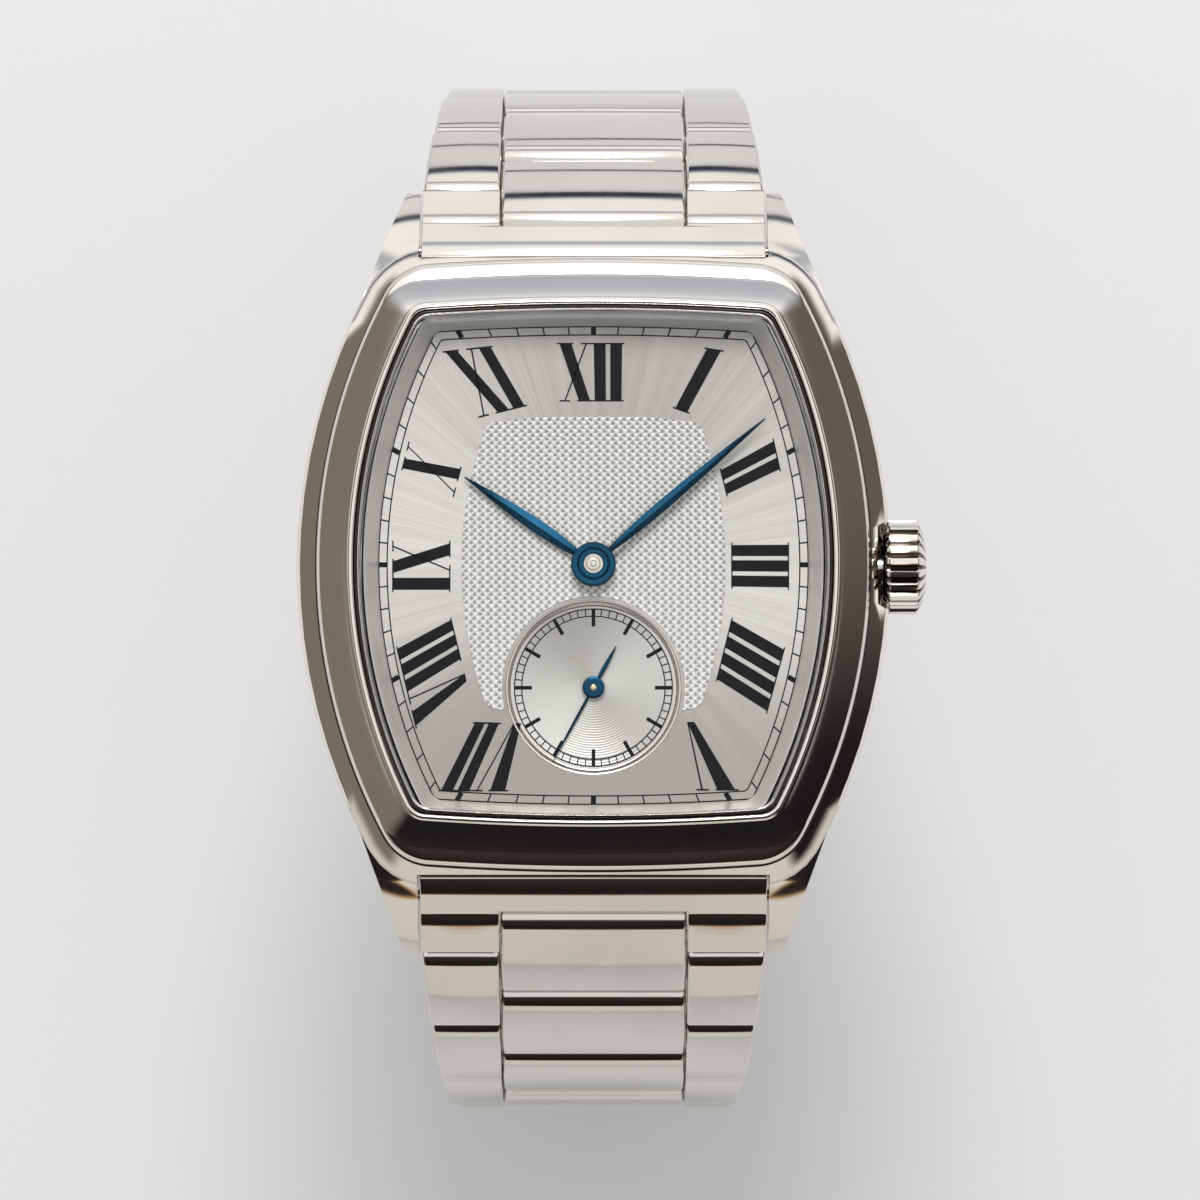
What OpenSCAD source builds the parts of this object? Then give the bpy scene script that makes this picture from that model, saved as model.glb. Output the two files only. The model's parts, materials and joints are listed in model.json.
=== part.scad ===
// Tonneau wristwatch on a three-row H-link bracelet, dial up, bracelet closed as a loop.
// X points to 3 o'clock, Y to 12 o'clock, Z out of the dial. The origin is the centre of the case back.

/* [Case] */
// Half width of the case at 3 and 9 o'clock
case_half_w = 18.6; // [17.5:0.1:20]
// Radius of the case sides seen from above
side_r = 36; // [33:0.5:40]
// Distance from the case's end face to the lug tips
lug_len = 4.8; // [4.55:0.05:5.35]
// Gap between the lugs
lug_gap = 22; // [21:0.1:22.4]
// Play between the bracelet and a lug, at each side
lug_play = 0.15; // [0.1:0.01:0.2]
// Distance from the case's end face to the spring bar
bar_out = 1.1; // [1.05:0.01:1.15]
// Height of the spring bars
spring_bar_z = 0.6; // [0.55:0.01:0.65]
// Height of the seam between case and bezel
seam_z = 7; // [6.8:0.1:7.6]
// Distance of the lug tips' outer edges from the middle
lug_tip_x = 11.9; // [11.7:0.1:12.4]
// Height of the lug tops where they leave the case
lug_top_z = 6.2; // [5.6:0.1:6.4]
// Height at which the lug slope ends in the tip
lug_tip_z = 1.1; // [0.8:0.1:1.6]
// Length of the lugs' slope, seen from above
lug_slope_len = 10.2; // [8.5:0.05:12]
// Thickness of the case back
back_t = 0.9; // [0.7:0.05:1]
// Diameter of the case back
back_d = 31.2; // [31:0.1:31.6]
// Diameter of the hole that holds the movement
bore_d = 26.8; // [26.6:0.1:26.9]

/* [Bezel and crystal] */
// Half width of the bezel
bezel_half_w = 17.3; // [16.6:0.1:17.6]
// Half height of the bezel
bezel_half_h = 19.15; // [18.8:0.05:19.4]
// Radius of the bezel corners
bezel_corner_r = 3.4; // [2.5:0.1:4]
// Height of the bezel above the seam
bezel_h = 2.35; // [2:0.05:2.8]
// Width of the bezel ring seen from above
bezel_w = 2.4; // [2.2:0.05:2.6]
// Extra width of the bezel at 12 and 6 o'clock
bezel_end_extra = 0.7; // [0.55:0.05:0.85]
// Thickness of the crystal
crystal_t = 1.4; // [1.2:0.05:1.6]
// Radial thickness of the crystal gasket
gasket_w = 0.35; // [0.25:0.05:0.4]

/* [Dial and hands] */
// Height of the dial face
dial_z = 6.5; // [6.3:0.05:6.7]
// Thickness of the dial
dial_t = 0.4; // [0.3:0.05:0.5]
// Distance from the centre down to the small seconds
seconds_drop = 7.7; // [7.5:0.05:7.9]
// Radius of the recess for the small seconds
seconds_r = 5.5; // [5.2:0.05:5.6]
// Depth of the small seconds recess
seconds_depth = 0.2; // [0.1:0.05:0.25]
// Length of the hour hand
hour_len = 9.75; // [9:0.05:10.2]
// Length of the minute hand
minute_len = 14.1; // [13:0.05:14.3]
// Length of the seconds hand
second_len = 5.05; // [4.5:0.05:5.2]
// Length of the seconds hand's tail
second_tail = 2.95; // [2.5:0.05:3.2]
// Greatest half width of the hour hand's leaf
hour_half_w = 0.46; // [0.4:0.01:0.6]
// Greatest half width of the minute hand's leaf
minute_half_w = 0.4; // [0.35:0.01:0.5]
// Angle of the hour hand, clockwise from 12
hour_angle = 304.15; // [0:0.05:360]
// Angle of the minute hand, clockwise from 12
minute_angle = 49.7; // [0:0.1:360]
// Angle of the seconds hand, clockwise from 12
second_angle = 208.8; // [0:0.1:360]
// Thickness of the hands
hand_t = 0.16; // [0.12:0.01:0.2]

/* [Crown] */
// Diameter of the crown
crown_d = 5.9; // [5.4:0.05:6]
// Length of the fluted part of the crown
crown_len = 2.3; // [2.2:0.05:2.6]
// Number of flutes round the crown
crown_flutes = 22; // [18:1:26]
// Diameter of the winding stem
stem_d = 0.9; // [0.8:0.05:1]
// How far the crown pulls out to set the hands
crown_pull = 1; // [0.6:0.1:1.2]
// Height of the crown axis
crown_z = 4.45; // [4.4:0.01:4.5]

/* [Bracelet] */
// Length of one link
link_pitch = 7; // [6.8:0.05:7.2]
// Thickness of the links
link_t = 3; // [2.8:0.05:3.1]
// Width of the centre links
centre_w = 11.65; // [11:0.05:12]
// Loss of width from one link to the next
link_taper = 1.05; // [0.9:0.05:1.1]
// Diameter of the link pins
pin_d = 1; // [0.9:0.05:1.2]
// Play round a turning pin, on the radius
pin_play = 0.03; // [0.02:0.01:0.05]
// Gap between the round end of a link and the hollow end of the next
link_gap = 0.14; // [0.1:0.01:0.2]
// How far a link's crisp end reaches over the next link's round end
link_lip = 0.1; // [0:0.01:0.15]
// Smallest width of the bracelet, at the clasp
clasp_link_w = 16; // [15:0.1:16.4]
// Distance from the case's end face to the first link hinge
hinge_out = 2.7; // [2.65:0.01:2.8]
// Height of the first link hinge
chain_z = 2.58; // [2.4:0.01:2.7]
// Slope of the end links below the horizontal
end_slope = 34; // [32:1:36]
// Slope of the first link below the horizontal
first_slope = 47; // [45:1:50]
// Turn from one link to the next
link_bend = 13.7; // [13:0.1:14.2]

/* [Clasp] */
// Thickness of the clasp blades
blade_t = 0.9; // [0.8:0.05:1]
// Width of the clasp blades
blade_w = 11; // [10:0.1:11.2]
// Thickness of the clasp cover
cover_t = 1.2; // [1:0.1:1.4]
// Width of the clasp cover
cover_w = 18.2; // [18.1:0.1:19]
// Gap between the folded blades and the cover
fold_gap = 0.18; // [0.15:0.01:0.2]
// Distance from the clasp's end hinges to its folding hinges, along Y
fold_in = 3.7; // [3.5:0.05:4]
// Diameter of the round holes in the clasp blades
blade_hole_d = 3.2; // [2.8:0.1:3.6]
// Distance between the holes of the inner blade
inner_hole_step = 6; // [5.5:0.1:6.2]
// Distance between the holes of the middle blade
middle_hole_step = 8; // [7:0.1:8.4]

/* [Movement] */
// Diameter of the movement
movement_d = 25.6; // [25.4:0.1:26]
// Height of the bridges' outer faces above the case back's outer face
bridge_z = 1.05; // [1:0.01:1.1]
// Height of the train space's lower end
train_z = 1.9; // [1.85:0.01:1.95]
// Height of the main plate's lower face
plate_z = 3.9; // [3.88:0.01:3.95]
// Height of the main plate's upper face
plate_top_z = 5; // [4.98:0.01:5.02]
// Tooth size of the barrel and the centre pinion
barrel_module = 0.14; // [0.138:0.001:0.142]
// Tooth size of the centre wheel and the third pinion
centre_module = 0.115; // [0.113:0.001:0.117]
// Tooth size of the third wheel and the fourth pinion
third_module = 0.1; // [0.099:0.001:0.102]
// Tooth size of the fourth wheel and the escape pinion
fourth_module = 0.1; // [0.099:0.001:0.102]
// Distance between the minute wheel and the centre
motion_dist = 3.6; // [3.55:0.01:3.65]

/* [Hidden] */
$fn = 48;
steel = [0.80, 0.79, 0.77];
brass = [0.80, 0.68, 0.40];
blued = [0.05, 0.28, 0.50];
// A cut goes this far past the face that it opens
past = 0.5;
// Clearance between pieces that are held together
seat = 0.02;
// The case ends a little past the bezel
end_face_y = bezel_half_h + 0.25;
lug_reach = end_face_y + lug_len;
lug_slope_y = lug_reach - lug_slope_len;
lug_root_y = end_face_y - 3.5;
lug_root_x = case_half_w - side_r + sqrt(side_r * side_r - lug_root_y * lug_root_y);
spring_bar_y = end_face_y + bar_out;
spring_bar_r = 0.65;
spring_tip_r = 0.4;
lug_drop = lug_top_z - lug_tip_z;
lug_slope_r = (pow(lug_reach - lug_slope_y, 2) + pow(lug_drop, 2)) / (2 * lug_drop);
first_w = lug_gap - 2 * lug_play;
chain_y = end_face_y + hinge_out;
top_r = 150;
bezel_top_z = seam_z + bezel_h;
dial_under_z = dial_z - dial_t;
row_gap = 0.1;
hinge_step = link_pitch / 4;
link_n = 8;

// Outline of a barrel shape: arcs at the sides and ends, rounded at the corners.
// a and b are its half width and half height, s and t the radii of its sides and ends, c its corner radius.
function between(p, q, r1, r2) =
    let (d = norm(q - p), along = (d * d + r1 * r1 - r2 * r2) / (2 * d), up = sqrt(r1 * r1 - along * along),
         u = (q - p) / d)
    p + along * u + up * [u[1], -u[0]];
function arc(m, r, from, to, n) = [for (i = [0 : n]) m + r * [cos(from + (to - from) * i / n),
    sin(from + (to - from) * i / n)]];
function quarter(a, b, s, t, c) =
    let (side_m = [a - s, 0], end_m = [0, b - t], m = between(end_m, side_m, t - c, s - c),
         side_a = atan2(m[1] - side_m[1], m[0] - side_m[0]), end_a = atan2(m[1] - end_m[1], m[0] - end_m[0]))
    concat(arc(side_m, s, 0, side_a, 8), arc(m, c, side_a + 5, end_a - 5, 4), arc(end_m, t, end_a, 90, 3));
function reversed(p) = [for (i = [len(p) - 1 : -1 : 0]) p[i]];
function barrel_shape(a, b, s, t, c) =
    let (q = quarter(a, b, s, t, c), n = len(q))
    concat(q, [for (i = [n - 2 : -1 : 0]) [-q[i][0], q[i][1]]], [for (i = [1 : n - 1]) [-q[i][0], -q[i][1]]],
        [for (i = [n - 2 : -1 : 1]) [q[i][0], -q[i][1]]]);
// The bezel's outline, moved in by d at the sides and a share more at the ends
function bezel_line(d, more = 0) =
    barrel_shape(bezel_half_w - d, bezel_half_h - d - more, side_r - d, top_r - d,
        max(bezel_corner_r - d, 1.2));
// A closed skin over a stack of outlines, each with its height
module loft(rings, ring = false) {
    n = len(rings[0][0]);
    k = len(rings);
    points = [for (r = rings) for (p = r[0]) [p[0], p[1], r[1]]];
    steps = ring ? k : k - 1;
    walls = [for (j = [0 : steps - 1]) for (i = [0 : n - 1])
        for (f = [[j * n + i, j * n + (i + 1) % n, ((j + 1) % k) * n + (i + 1) % n],
            [j * n + i, ((j + 1) % k) * n + (i + 1) % n, ((j + 1) % k) * n + i]]) reversed(f)];
    caps = ring ? [] : [[for (i = [0 : n - 1]) i], [for (i = [n - 1 : -1 : 0]) (k - 1) * n + i]];
    polyhedron(points, concat(walls, caps), convexity = 6);
}
module barrel_slab(d, z, h, more = 0) {
    translate([0, 0, z]) linear_extrude(h) polygon(bezel_line(d, more));
}

module mid_case() {
    shoulder = [[-1.3, 2], [-1.3, 5.8], [-1.24, 6.05], [-1.1, lug_top_z], [-0.2, 6.88], [-0.08, seam_z - 0.03],
        [0.25, seam_z]];
    color(steel) difference() {
        union() {
            loft([for (p = shoulder) [bezel_line(p[0]), p[1]]]);
            intersection() {
                translate([0, 0, -2]) linear_extrude(lug_top_z + 2) case_plan();
                for_both_ends() lug_side();
            }
        }
        for_both_ends() translate([-lug_gap / 2, end_face_y, -seam_z])
            cube([lug_gap, lug_reach, 2 * seam_z + past]);
        translate([0, 0, -past]) cylinder(h = back_t + past + seat, d = back_d + 0.1, $fn = 96);
        translate([0, 0, -past]) cylinder(h = dial_under_z + past, d = bore_d, $fn = 96);
        barrel_slab(bezel_w + 0.4, dial_under_z - 0.2, 3, bezel_end_extra);
        translate([0, 0, crown_z]) rotate([0, 90, 0]) cylinder(h = case_half_w + past, d = 2.2 + 0.04);
        translate([crown_x - crown_recess, 0, crown_z]) rotate([0, 90, 0]) cylinder(h = 3, d = crown_d + 0.6);
        for_both_ends() spring_bar(spring_tip_r + 0.05, lug_gap / 2 + 1.2);
        back_screw_places() translate([0, 0, -past]) cylinder(h = 2.6 + past, d = 1);
    }
}
module for_both_ends() {
    children();
    mirror([0, 1, 0]) children();
}
// The case from above, with sides that straighten into the lugs
module case_plan() {
    intersection() {
        translate([case_half_w - side_r, 0]) circle(r = side_r, $fn = 180);
        translate([side_r - case_half_w, 0]) circle(r = side_r, $fn = 180);
        square([3 * case_half_w, 2 * lug_root_y], center = true);
    }
    for_both_ends() polygon([[-lug_root_x, lug_root_y - 0.01], [-lug_tip_x, lug_reach],
        [lug_tip_x, lug_reach], [lug_root_x, lug_root_y - 0.01]]);
}
// Side view of the case from its middle to one lug tip, drawn out across the case
module lug_side() {
    slope_m = [lug_slope_y, lug_top_z - lug_slope_r];
    slope_end = atan2(lug_tip_z - slope_m[1], lug_reach - slope_m[0]);
    rotate([90, 0, 90]) translate([0, 0, -case_half_w - 1]) linear_extrude(2 * case_half_w + 2)
        polygon(concat([[-1, 0.5], [lug_root_y - 2, 0.5], [end_face_y, -0.1], [lug_reach - 1.6, -0.7],
            [lug_reach - 0.5, -0.5],
            [lug_reach, 0.2]], arc(slope_m, lug_slope_r, slope_end, 90, 10), [[-1, lug_top_z]]));
}
module back_screw_places() {
    for (a = [45 : 90 : 315]) rotate(a) translate([back_d / 2 - 1.15, 0, 0]) children();
}
module bezel() {
    // Section of the ring: distance in from the edge, extra at the ends, and height
    extra = bezel_end_extra;
    outer = extra + 0.15;
    inner = bezel_w - 0.4;
    skin = [[0, 0, 0.12], [0.01, 0.01, 0.85], [0.04, 0.06, 1.05], [0.1, 0.2, 1.17], [0.17, outer - 0.15, 1.3],
        [0.22, outer, 1.34], [inner, extra, bezel_h - 0.12], [inner + 0.1, extra, bezel_h - 0.03],
        [inner + 0.2, extra, bezel_h], [bezel_w - 0.06, extra, bezel_h - 0.15], [bezel_w, extra, bezel_h - 0.4],
        [bezel_w, extra, 0.5], [1.4, extra, 0.5], [1.4, extra, 0], [0.35, 0, 0]];
    color(steel) loft([for (p = reversed(skin)) [bezel_line(p[0], p[1]), seam_z + p[2] + seat]], ring = true);
}
module crystal() {
    in = bezel_w + gasket_w + 2 * seat;
    top = bezel_top_z + 0.45;
    dome = [[in, top - crystal_t], [in, bezel_top_z], [in + 0.2, bezel_top_z + 0.2], [in + 1.2, top - 0.14],
        [in + 4, top - 0.03], [in + 8, top]];
    color([0.9, 0.95, 1, 0.3]) loft([for (p = dome) [bezel_line(p[0], bezel_end_extra), p[1]]]);
}
module crystal_gasket() {
    color("white") difference() {
        barrel_slab(bezel_w + seat, seam_z + 1.35, bezel_h - 1.1, bezel_end_extra);
        barrel_slab(bezel_w + gasket_w, seam_z, bezel_h + 1, bezel_end_extra);
    }
}
// Sloping inner ring between the dial and the crystal
module dial_ring() {
    foot = bezel_w + 1.4;
    head = bezel_w + 0.55;
    // At 12 and 6 o'clock the ring reaches further out than the pocket that it stands in
    foot_extra = bezel_end_extra - 0.45;
    head_extra = bezel_end_extra - 0.35;
    top = seam_z + 1.3;
    skin = [[head, bezel_end_extra, dial_z + seat], [foot, foot_extra, dial_z + seat],
        [foot, foot_extra, dial_z + 0.3], [head + 0.25, head_extra, top], [head, head_extra, top],
        [head, head_extra, seam_z + 0.3], [head, bezel_end_extra, seam_z - 0.1]];
    color(steel) loft([for (p = skin) [bezel_line(p[0], p[1]), p[2]]], ring = true);
}
module case_back() {
    color(steel) difference() {
        union() {
            cylinder(h = 0.5, r1 = back_d / 2 - 0.7, r2 = back_d / 2, $fn = 96);
            translate([0, 0, 0.5]) cylinder(h = back_t - 0.5, d = back_d, $fn = 96);
        }
        back_screw_places() {
            translate([0, 0, -past]) cylinder(h = back_t + 2 * past, d = 1.1);
            translate([0, 0, -past]) cylinder(h = 0.35 + past, d = 2);
        }
        translate([0, 0, back_t - 0.3]) gasket_ring(0.3 + past, 0.05);
    }
}
module gasket_ring(h, play) {
    difference() {
        cylinder(h = h, d = back_d - 3.5 + 2 * play, $fn = 96);
        translate([0, 0, -past]) cylinder(h = h + 2 * past, d = back_d - 4.3 - 2 * play, $fn = 96);
    }
}
module case_back_gasket() {
    color("black") translate([0, 0, back_t - 0.29]) gasket_ring(0.29, 0);
}
module case_back_screws() {
    color(steel) back_screw_places() difference() {
        union() {
            translate([0, 0, 0.05]) cylinder(h = 0.28, d = 1.9);
            translate([0, 0, 0.05]) cylinder(h = 2.3, d = 0.96);
        }
        translate([-1, -0.15, -past]) cube([2, 0.3, past + 0.18]);
    }
}
module movement_ring() {
    color([0.7, 0.7, 0.72]) difference() {
        translate([0, 0, back_t + seat])
            cylinder(h = dial_under_z - back_t - 2 * seat, d = bore_d - 0.06, $fn = 96);
        cylinder(h = seam_z, d = movement_d + 0.04, $fn = 96);
        translate([0, 0, crown_z]) rotate([0, 90, 0]) cylinder(h = bore_d, d = stem_d + 0.5);
    }
}
module crown_tube() {
    color(steel) translate([0, 0, crown_z]) rotate([0, 90, 0]) difference() {
        union() {
            translate([0, 0, tube_start]) cylinder(h = crown_x - crown_recess + 0.05 - tube_start, d = 2.2);
            translate([0, 0, tube_start]) cylinder(h = crown_x + 1.52 - tube_start, d = 1.7);
        }
        cylinder(h = case_half_w + 3, d = stem_d + 0.3);
    }
}
tube_start = bore_d / 2 + 0.1;
// The crown's inner face, and how deep the case is recessed behind it
crown_x = case_half_w - 0.5;
crown_recess = 0.3;
module crown() {
    dome = 0.55;
    color(steel) translate([crown_x, 0, crown_z]) rotate([0, 90, 0]) difference() {
        union() {
            cylinder(h = 0.45, r1 = crown_d / 2 - 0.55, r2 = crown_d / 2 - 0.1, $fn = 64);
            translate([0, 0, 0.45]) cylinder(h = crown_len - 0.45, d = crown_d, $fn = 64);
            translate([0, 0, crown_len]) cylinder(h = 0.2, r1 = crown_d / 2 - 0.15, r2 = crown_d / 2 - 0.45,
                $fn = 64);
            translate([0, 0, crown_len + 0.2]) cylinder(h = dome - 0.2, r1 = crown_d / 2 - 0.5,
                r2 = crown_d / 2 - 1.3, $fn = 64);
        }
        for (i = [0 : crown_flutes - 1]) rotate(i * 360 / crown_flutes)
            translate([crown_d / 2 + 0.12, 0, 0.3]) cylinder(h = crown_len, d = 0.56, $fn = 16);
        translate([0, 0, -past]) cylinder(h = 1.9 + past, d = 1.95);
        translate([0, 0, -past]) cylinder(h = 0.8 + past, d = 2.9);
        translate([0, 0, -past]) cylinder(h = 2.2 + past, d = stem_d + 2 * seat);
    }
}
module crown_gasket() {
    color("black") translate([crown_x, 0, crown_z]) rotate([0, 90, 0]) difference() {
        translate([0, 0, 0.1]) cylinder(h = 0.6, d = 2.84);
        cylinder(h = 3, d = 1.8);
    }
}
module winding_stem() {
    color(steel) translate([0, 0, crown_z]) rotate([0, 90, 0]) difference() {
        union() {
            translate([0, 0, 8.2]) cylinder(h = crown_x + 2.15 - 8.2, d = stem_d);
            translate([0, 0, movement_d / 2 - crown_pull - 1.3]) cylinder(h = 1, d = stem_d + 0.2);
        }
        translate([-1, stem_d / 2 - 0.12, 8]) cube([2, 1, 1.6]);
    }
}
dial_feet_a = [70, 250];
dial_feet_r = movement_d / 2 - 1.6;
module dial() {
    under_ring = bezel_w + 0.5;
    color([0.93, 0.92, 0.89]) difference() {
        union() {
            barrel_slab(under_ring, dial_under_z, dial_t, bezel_end_extra);
            translate([0, 0, dial_z - seat]) linear_extrude(0.08) guilloche_panel(0);
            for (a = dial_feet_a) rotate(a) translate([dial_feet_r, 0, plate_top_z - 0.6])
                cylinder(h = dial_under_z - plate_top_z + 0.7, d = 0.7);
        }
        translate([0, -seconds_drop, dial_z - seconds_depth]) cylinder(h = 1, r = seconds_r, $fn = 96);
        translate([0, -seconds_drop, dial_under_z - past]) cylinder(h = 2, d = 0.9);
        translate([0, 0, dial_under_z - past]) cylinder(h = 2, d = 2.3);
    }
}
// Raised centre of the dial, cut by the small seconds
module guilloche_panel(inset) {
    difference() {
        polygon(barrel_shape(8.25 - inset, 9.35 - inset, 26, 60, 1.4));
        translate([0, -seconds_drop]) circle(r = seconds_r + 0.25 + inset, $fn = 96);
    }
}
// Leaf-shaped hand of a given length and greatest half width, along Y
module leaf(length, half_w, foot) {
    end_w = 0.08;
    side = [for (i = [0 : 8]) let (u = i / 8) [(half_w - end_w) * pow(sin(180 * pow(u, 0.62)), 0.8) + end_w, foot
        + u * (length - foot)]];
    polygon(concat([[end_w / 2, length]], reversed([for (p = side) if (p[1] < length) p]),
        [for (p = side) if (p[1] < length) [-p[0], p[1]]], [[-end_w / 2, length]]));
}
hour_z = dial_z + 0.42;
minute_z = hour_z + 0.42;
module hour_hand() {
    color(blued) rotate(-hour_angle) translate([0, 0, hour_z]) difference() {
        linear_extrude(hand_t) union() {
            leaf(hour_len, hour_half_w, 1);
            circle(r = 1.35);
        }
        translate([0, 0, -past]) cylinder(h = 2, d = 2.0 + 2 * seat);
    }
}
module minute_hand() {
    color(blued) rotate(-minute_angle) translate([0, 0, minute_z]) difference() {
        union() {
            linear_extrude(hand_t) leaf(minute_len, minute_half_w, 1);
            cylinder(h = 0.34, r = 1.4);
        }
        translate([0, 0, -past]) cylinder(h = 2, d = 1.2 + 2 * seat);
        translate([0, 0, 0.22]) cylinder(h = 2, r = 0.95);
    }
}
module seconds_hand() {
    color(blued) translate([0, -seconds_drop, dial_z + 0.05]) rotate(-second_angle) difference() {
        union() {
            linear_extrude(0.12) union() {
                leaf(second_len, 0.1, 0.5);
                rotate(180) leaf(second_tail, 0.15, 0.5);
            }
            cylinder(h = 0.24, r = 0.7);
        }
        translate([0, 0, -past]) cylinder(h = 2, d = 0.4 + 2 * seat);
    }
}
// Tooth counts, and where each arbor of the movement stands
barrel_n = 75;
centre_pinion_n = 10;
centre_n = 80;
third_pinion_n = 10;
third_n = 75;
fourth_pinion_n = 10;
fourth_n = 70;
escape_pinion_n = 7;
cannon_n = 12;
minute_n = 36;
minute_pinion_n = 10;
hour_n = 40;
centre_at = [0, 0];
fourth_at = [0, -seconds_drop];
barrel_at = (barrel_n + centre_pinion_n) / 2 * barrel_module * [cos(135), sin(135)];
third_at = between(fourth_at, centre_at, (third_n + fourth_pinion_n) / 2 * third_module,
    (centre_n + third_pinion_n) / 2 * centre_module);
escape_at = fourth_at + (fourth_n + escape_pinion_n) / 2 * fourth_module * [cos(200), sin(200)];
pallet_at = escape_at + 2.7 * [cos(125), sin(125)];
balance_at = pallet_at + 3.9 * [cos(140), sin(140)];
minute_at = motion_dist * [cos(60), sin(60)];
barrel_post_a = [75, 168];
train_post_a = [20, -45, -70];
cock_post_a = [186];
post_r = 11.6;
arbor_r = 0.25;
pivot_r = 0.12;
pivot_play = 0.03;

function heading(p, q) = atan2(q[1] - p[1], q[0] - p[0]);
module gear_outline(n, m, addendum, width) {
    pitch_r = n * m / 2;
    part = 360 / n;
    tip_r = pitch_r + addendum * m;
    tooth = [[pitch_r - m, -width * 0.68], [tip_r, -width * 0.24], [tip_r, width * 0.24],
        [pitch_r - m, width * 0.68]];
    polygon([for (i = [0 : n - 1]) for (e = tooth) e[0] * [cos(i * part + e[1] * part), sin(i * part + e[1] * part)]]);
}
// A wheel with one tooth facing the wheel or pinion that it drives
module toothed_wheel(n, m, facing, h, spokes = 4, hub_r = 0.9) {
    rim_r = n * m / 2 - 3.2 * m;
    linear_extrude(h) difference() {
        rotate(facing) gear_outline(n, m, 0.7, 0.42);
        difference() {
            circle(r = rim_r);
            circle(r = hub_r);
            for (i = [0 : spokes - 1]) rotate(i * 360 / spokes) translate([0, -0.16])
                square([rim_r + 0.2, 0.32]);
        }
    }
}
// A pinion with a gap facing the wheel that drives it
module pinion(n, m, facing, h) {
    linear_extrude(h) rotate(facing + 180 / n) gear_outline(n, m, 0.6, 0.38);
}
// Arbor with its two pivots, from the bridge to the plate
module arbor(r = arbor_r) {
    translate([0, 0, train_z + 0.03]) cylinder(h = plate_z - train_z - 0.06, r = r, $fn = 24);
    translate([0, 0, train_z - 0.4]) cylinder(h = plate_z - train_z + 0.8, r = pivot_r, $fn = 24);
}
module pivot_hole(r = pivot_r) {
    translate([0, 0, train_z - 0.45]) cylinder(h = plate_z - train_z + 0.9, r = r + pivot_play, $fn = 24);
}
barrel_arbor_r = 0.7;
barrel_pivot_r = 0.45;
centre_arbor_r = 0.4;
module pivot_holes() {
    for (p = [third_at, fourth_at, escape_at, pallet_at, balance_at]) translate(p) pivot_hole();
    translate(barrel_at) pivot_hole(barrel_pivot_r);
    translate([0, 0, train_z - 0.45]) cylinder(h = 4, r = centre_arbor_r + pivot_play);
}
module posts(angles, grow, from, to) {
    for (a = angles) rotate(a) translate([post_r, 0, from]) cylinder(h = to - from, r = grow);
}
module main_plate() {
    color(brass) difference() {
        union() {
            translate([0, 0, plate_z]) cylinder(h = plate_top_z - plate_z, d = movement_d, $fn = 96);
            translate([minute_at[0], minute_at[1], plate_top_z - seat]) cylinder(h = 0.75, r = 0.2);
        }
        pivot_holes();
        translate([0, -seconds_drop, plate_z - past]) cylinder(h = 2, r = 0.2 + pivot_play + 0.02);
        posts(concat(barrel_post_a, train_post_a, cock_post_a), 0.38, plate_z - past, plate_z + 0.8);
        for (a = dial_feet_a) rotate(a) translate([dial_feet_r, 0, plate_top_z - 0.7])
            cylinder(h = 2, d = 0.76);
        translate([8, 0, crown_z]) rotate([0, 90, 0]) cylinder(h = movement_d, d = stem_d + 0.3);
    }
}
module bridge_body(angles) {
    difference() {
        union() {
            translate([0, 0, bridge_z]) linear_extrude(train_z - bridge_z) children();
            posts(angles, 1.1, train_z - past, plate_z - seat);
        }
        pivot_holes();
        posts(angles, 0.85, bridge_z - past, bridge_z + 0.38);
        posts(angles, 0.38, bridge_z, plate_z + 1);
    }
}
// Where the barrel bridge's edge meets the rim of the movement
bridge_corner = movement_d / 2 * [cos(45), sin(45)];
module barrel_bridge() {
    color(brass) bridge_body(barrel_post_a) intersection() {
        circle(d = movement_d - 0.4, $fn = 96);
        polygon([[-movement_d, 0.6], [-2, 1.6], [3, 2.2], bridge_corner, [bridge_corner[0] - 1, movement_d],
            [-movement_d, movement_d]]);
    }
}
module train_bridge() {
    color(brass) bridge_body(train_post_a) difference() {
        intersection() {
            circle(d = movement_d - 0.4, $fn = 96);
            polygon([[movement_d, 14], [3.4, 1.8], [-1.6, 1.2], [-2.4, -4], [-6.2, -6], [-6.6, -8],
                [-5.5, -movement_d], [movement_d, -movement_d]]);
        }
        translate(balance_at) circle(r = 3.1);
    }
}
module balance_cock() {
    post = post_r * [cos(cock_post_a[0]), sin(cock_post_a[0])];
    color(brass) bridge_body(cock_post_a) union() {
        translate(balance_at) circle(r = 1.1);
        translate(post) circle(r = 1.15);
        translate(balance_at) rotate(heading(balance_at, post)) translate([0, -0.9])
            square([norm(post - balance_at), 1.8]);
    }
}
module bridge_screws() {
    all_posts = concat(barrel_post_a, train_post_a, cock_post_a);
    color(blued) difference() {
        union() {
            posts(all_posts, 0.8, bridge_z + 0.04, bridge_z + 0.36);
            posts(all_posts, 0.35, bridge_z + 0.3, plate_z + 0.7);
        }
        for (a = all_posts) rotate(a) translate([post_r - 1, -0.1, bridge_z - 0.3]) cube([2, 0.2, 0.5]);
    }
}
module barrel() {
    color(brass) translate(barrel_at) difference() {
        union() {
            translate([0, 0, train_z + 0.12]) linear_extrude(0.28)
                rotate(heading(barrel_at, centre_at)) gear_outline(barrel_n, barrel_module, 0.7, 0.42);
            translate([0, 0, train_z + 0.12])
                cylinder(h = 1.1, r = barrel_n * barrel_module / 2 - 0.4, $fn = 72);
            arbor(barrel_arbor_r);
            translate([0, 0, train_z - 0.4]) cylinder(h = plate_z - train_z + 0.8, r = barrel_pivot_r);
        }
        translate([0, 0, train_z]) difference() {
            cylinder(h = 0.2, r = 3.9);
            cylinder(h = 0.2, r = barrel_arbor_r);
        }
    }
}
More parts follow.
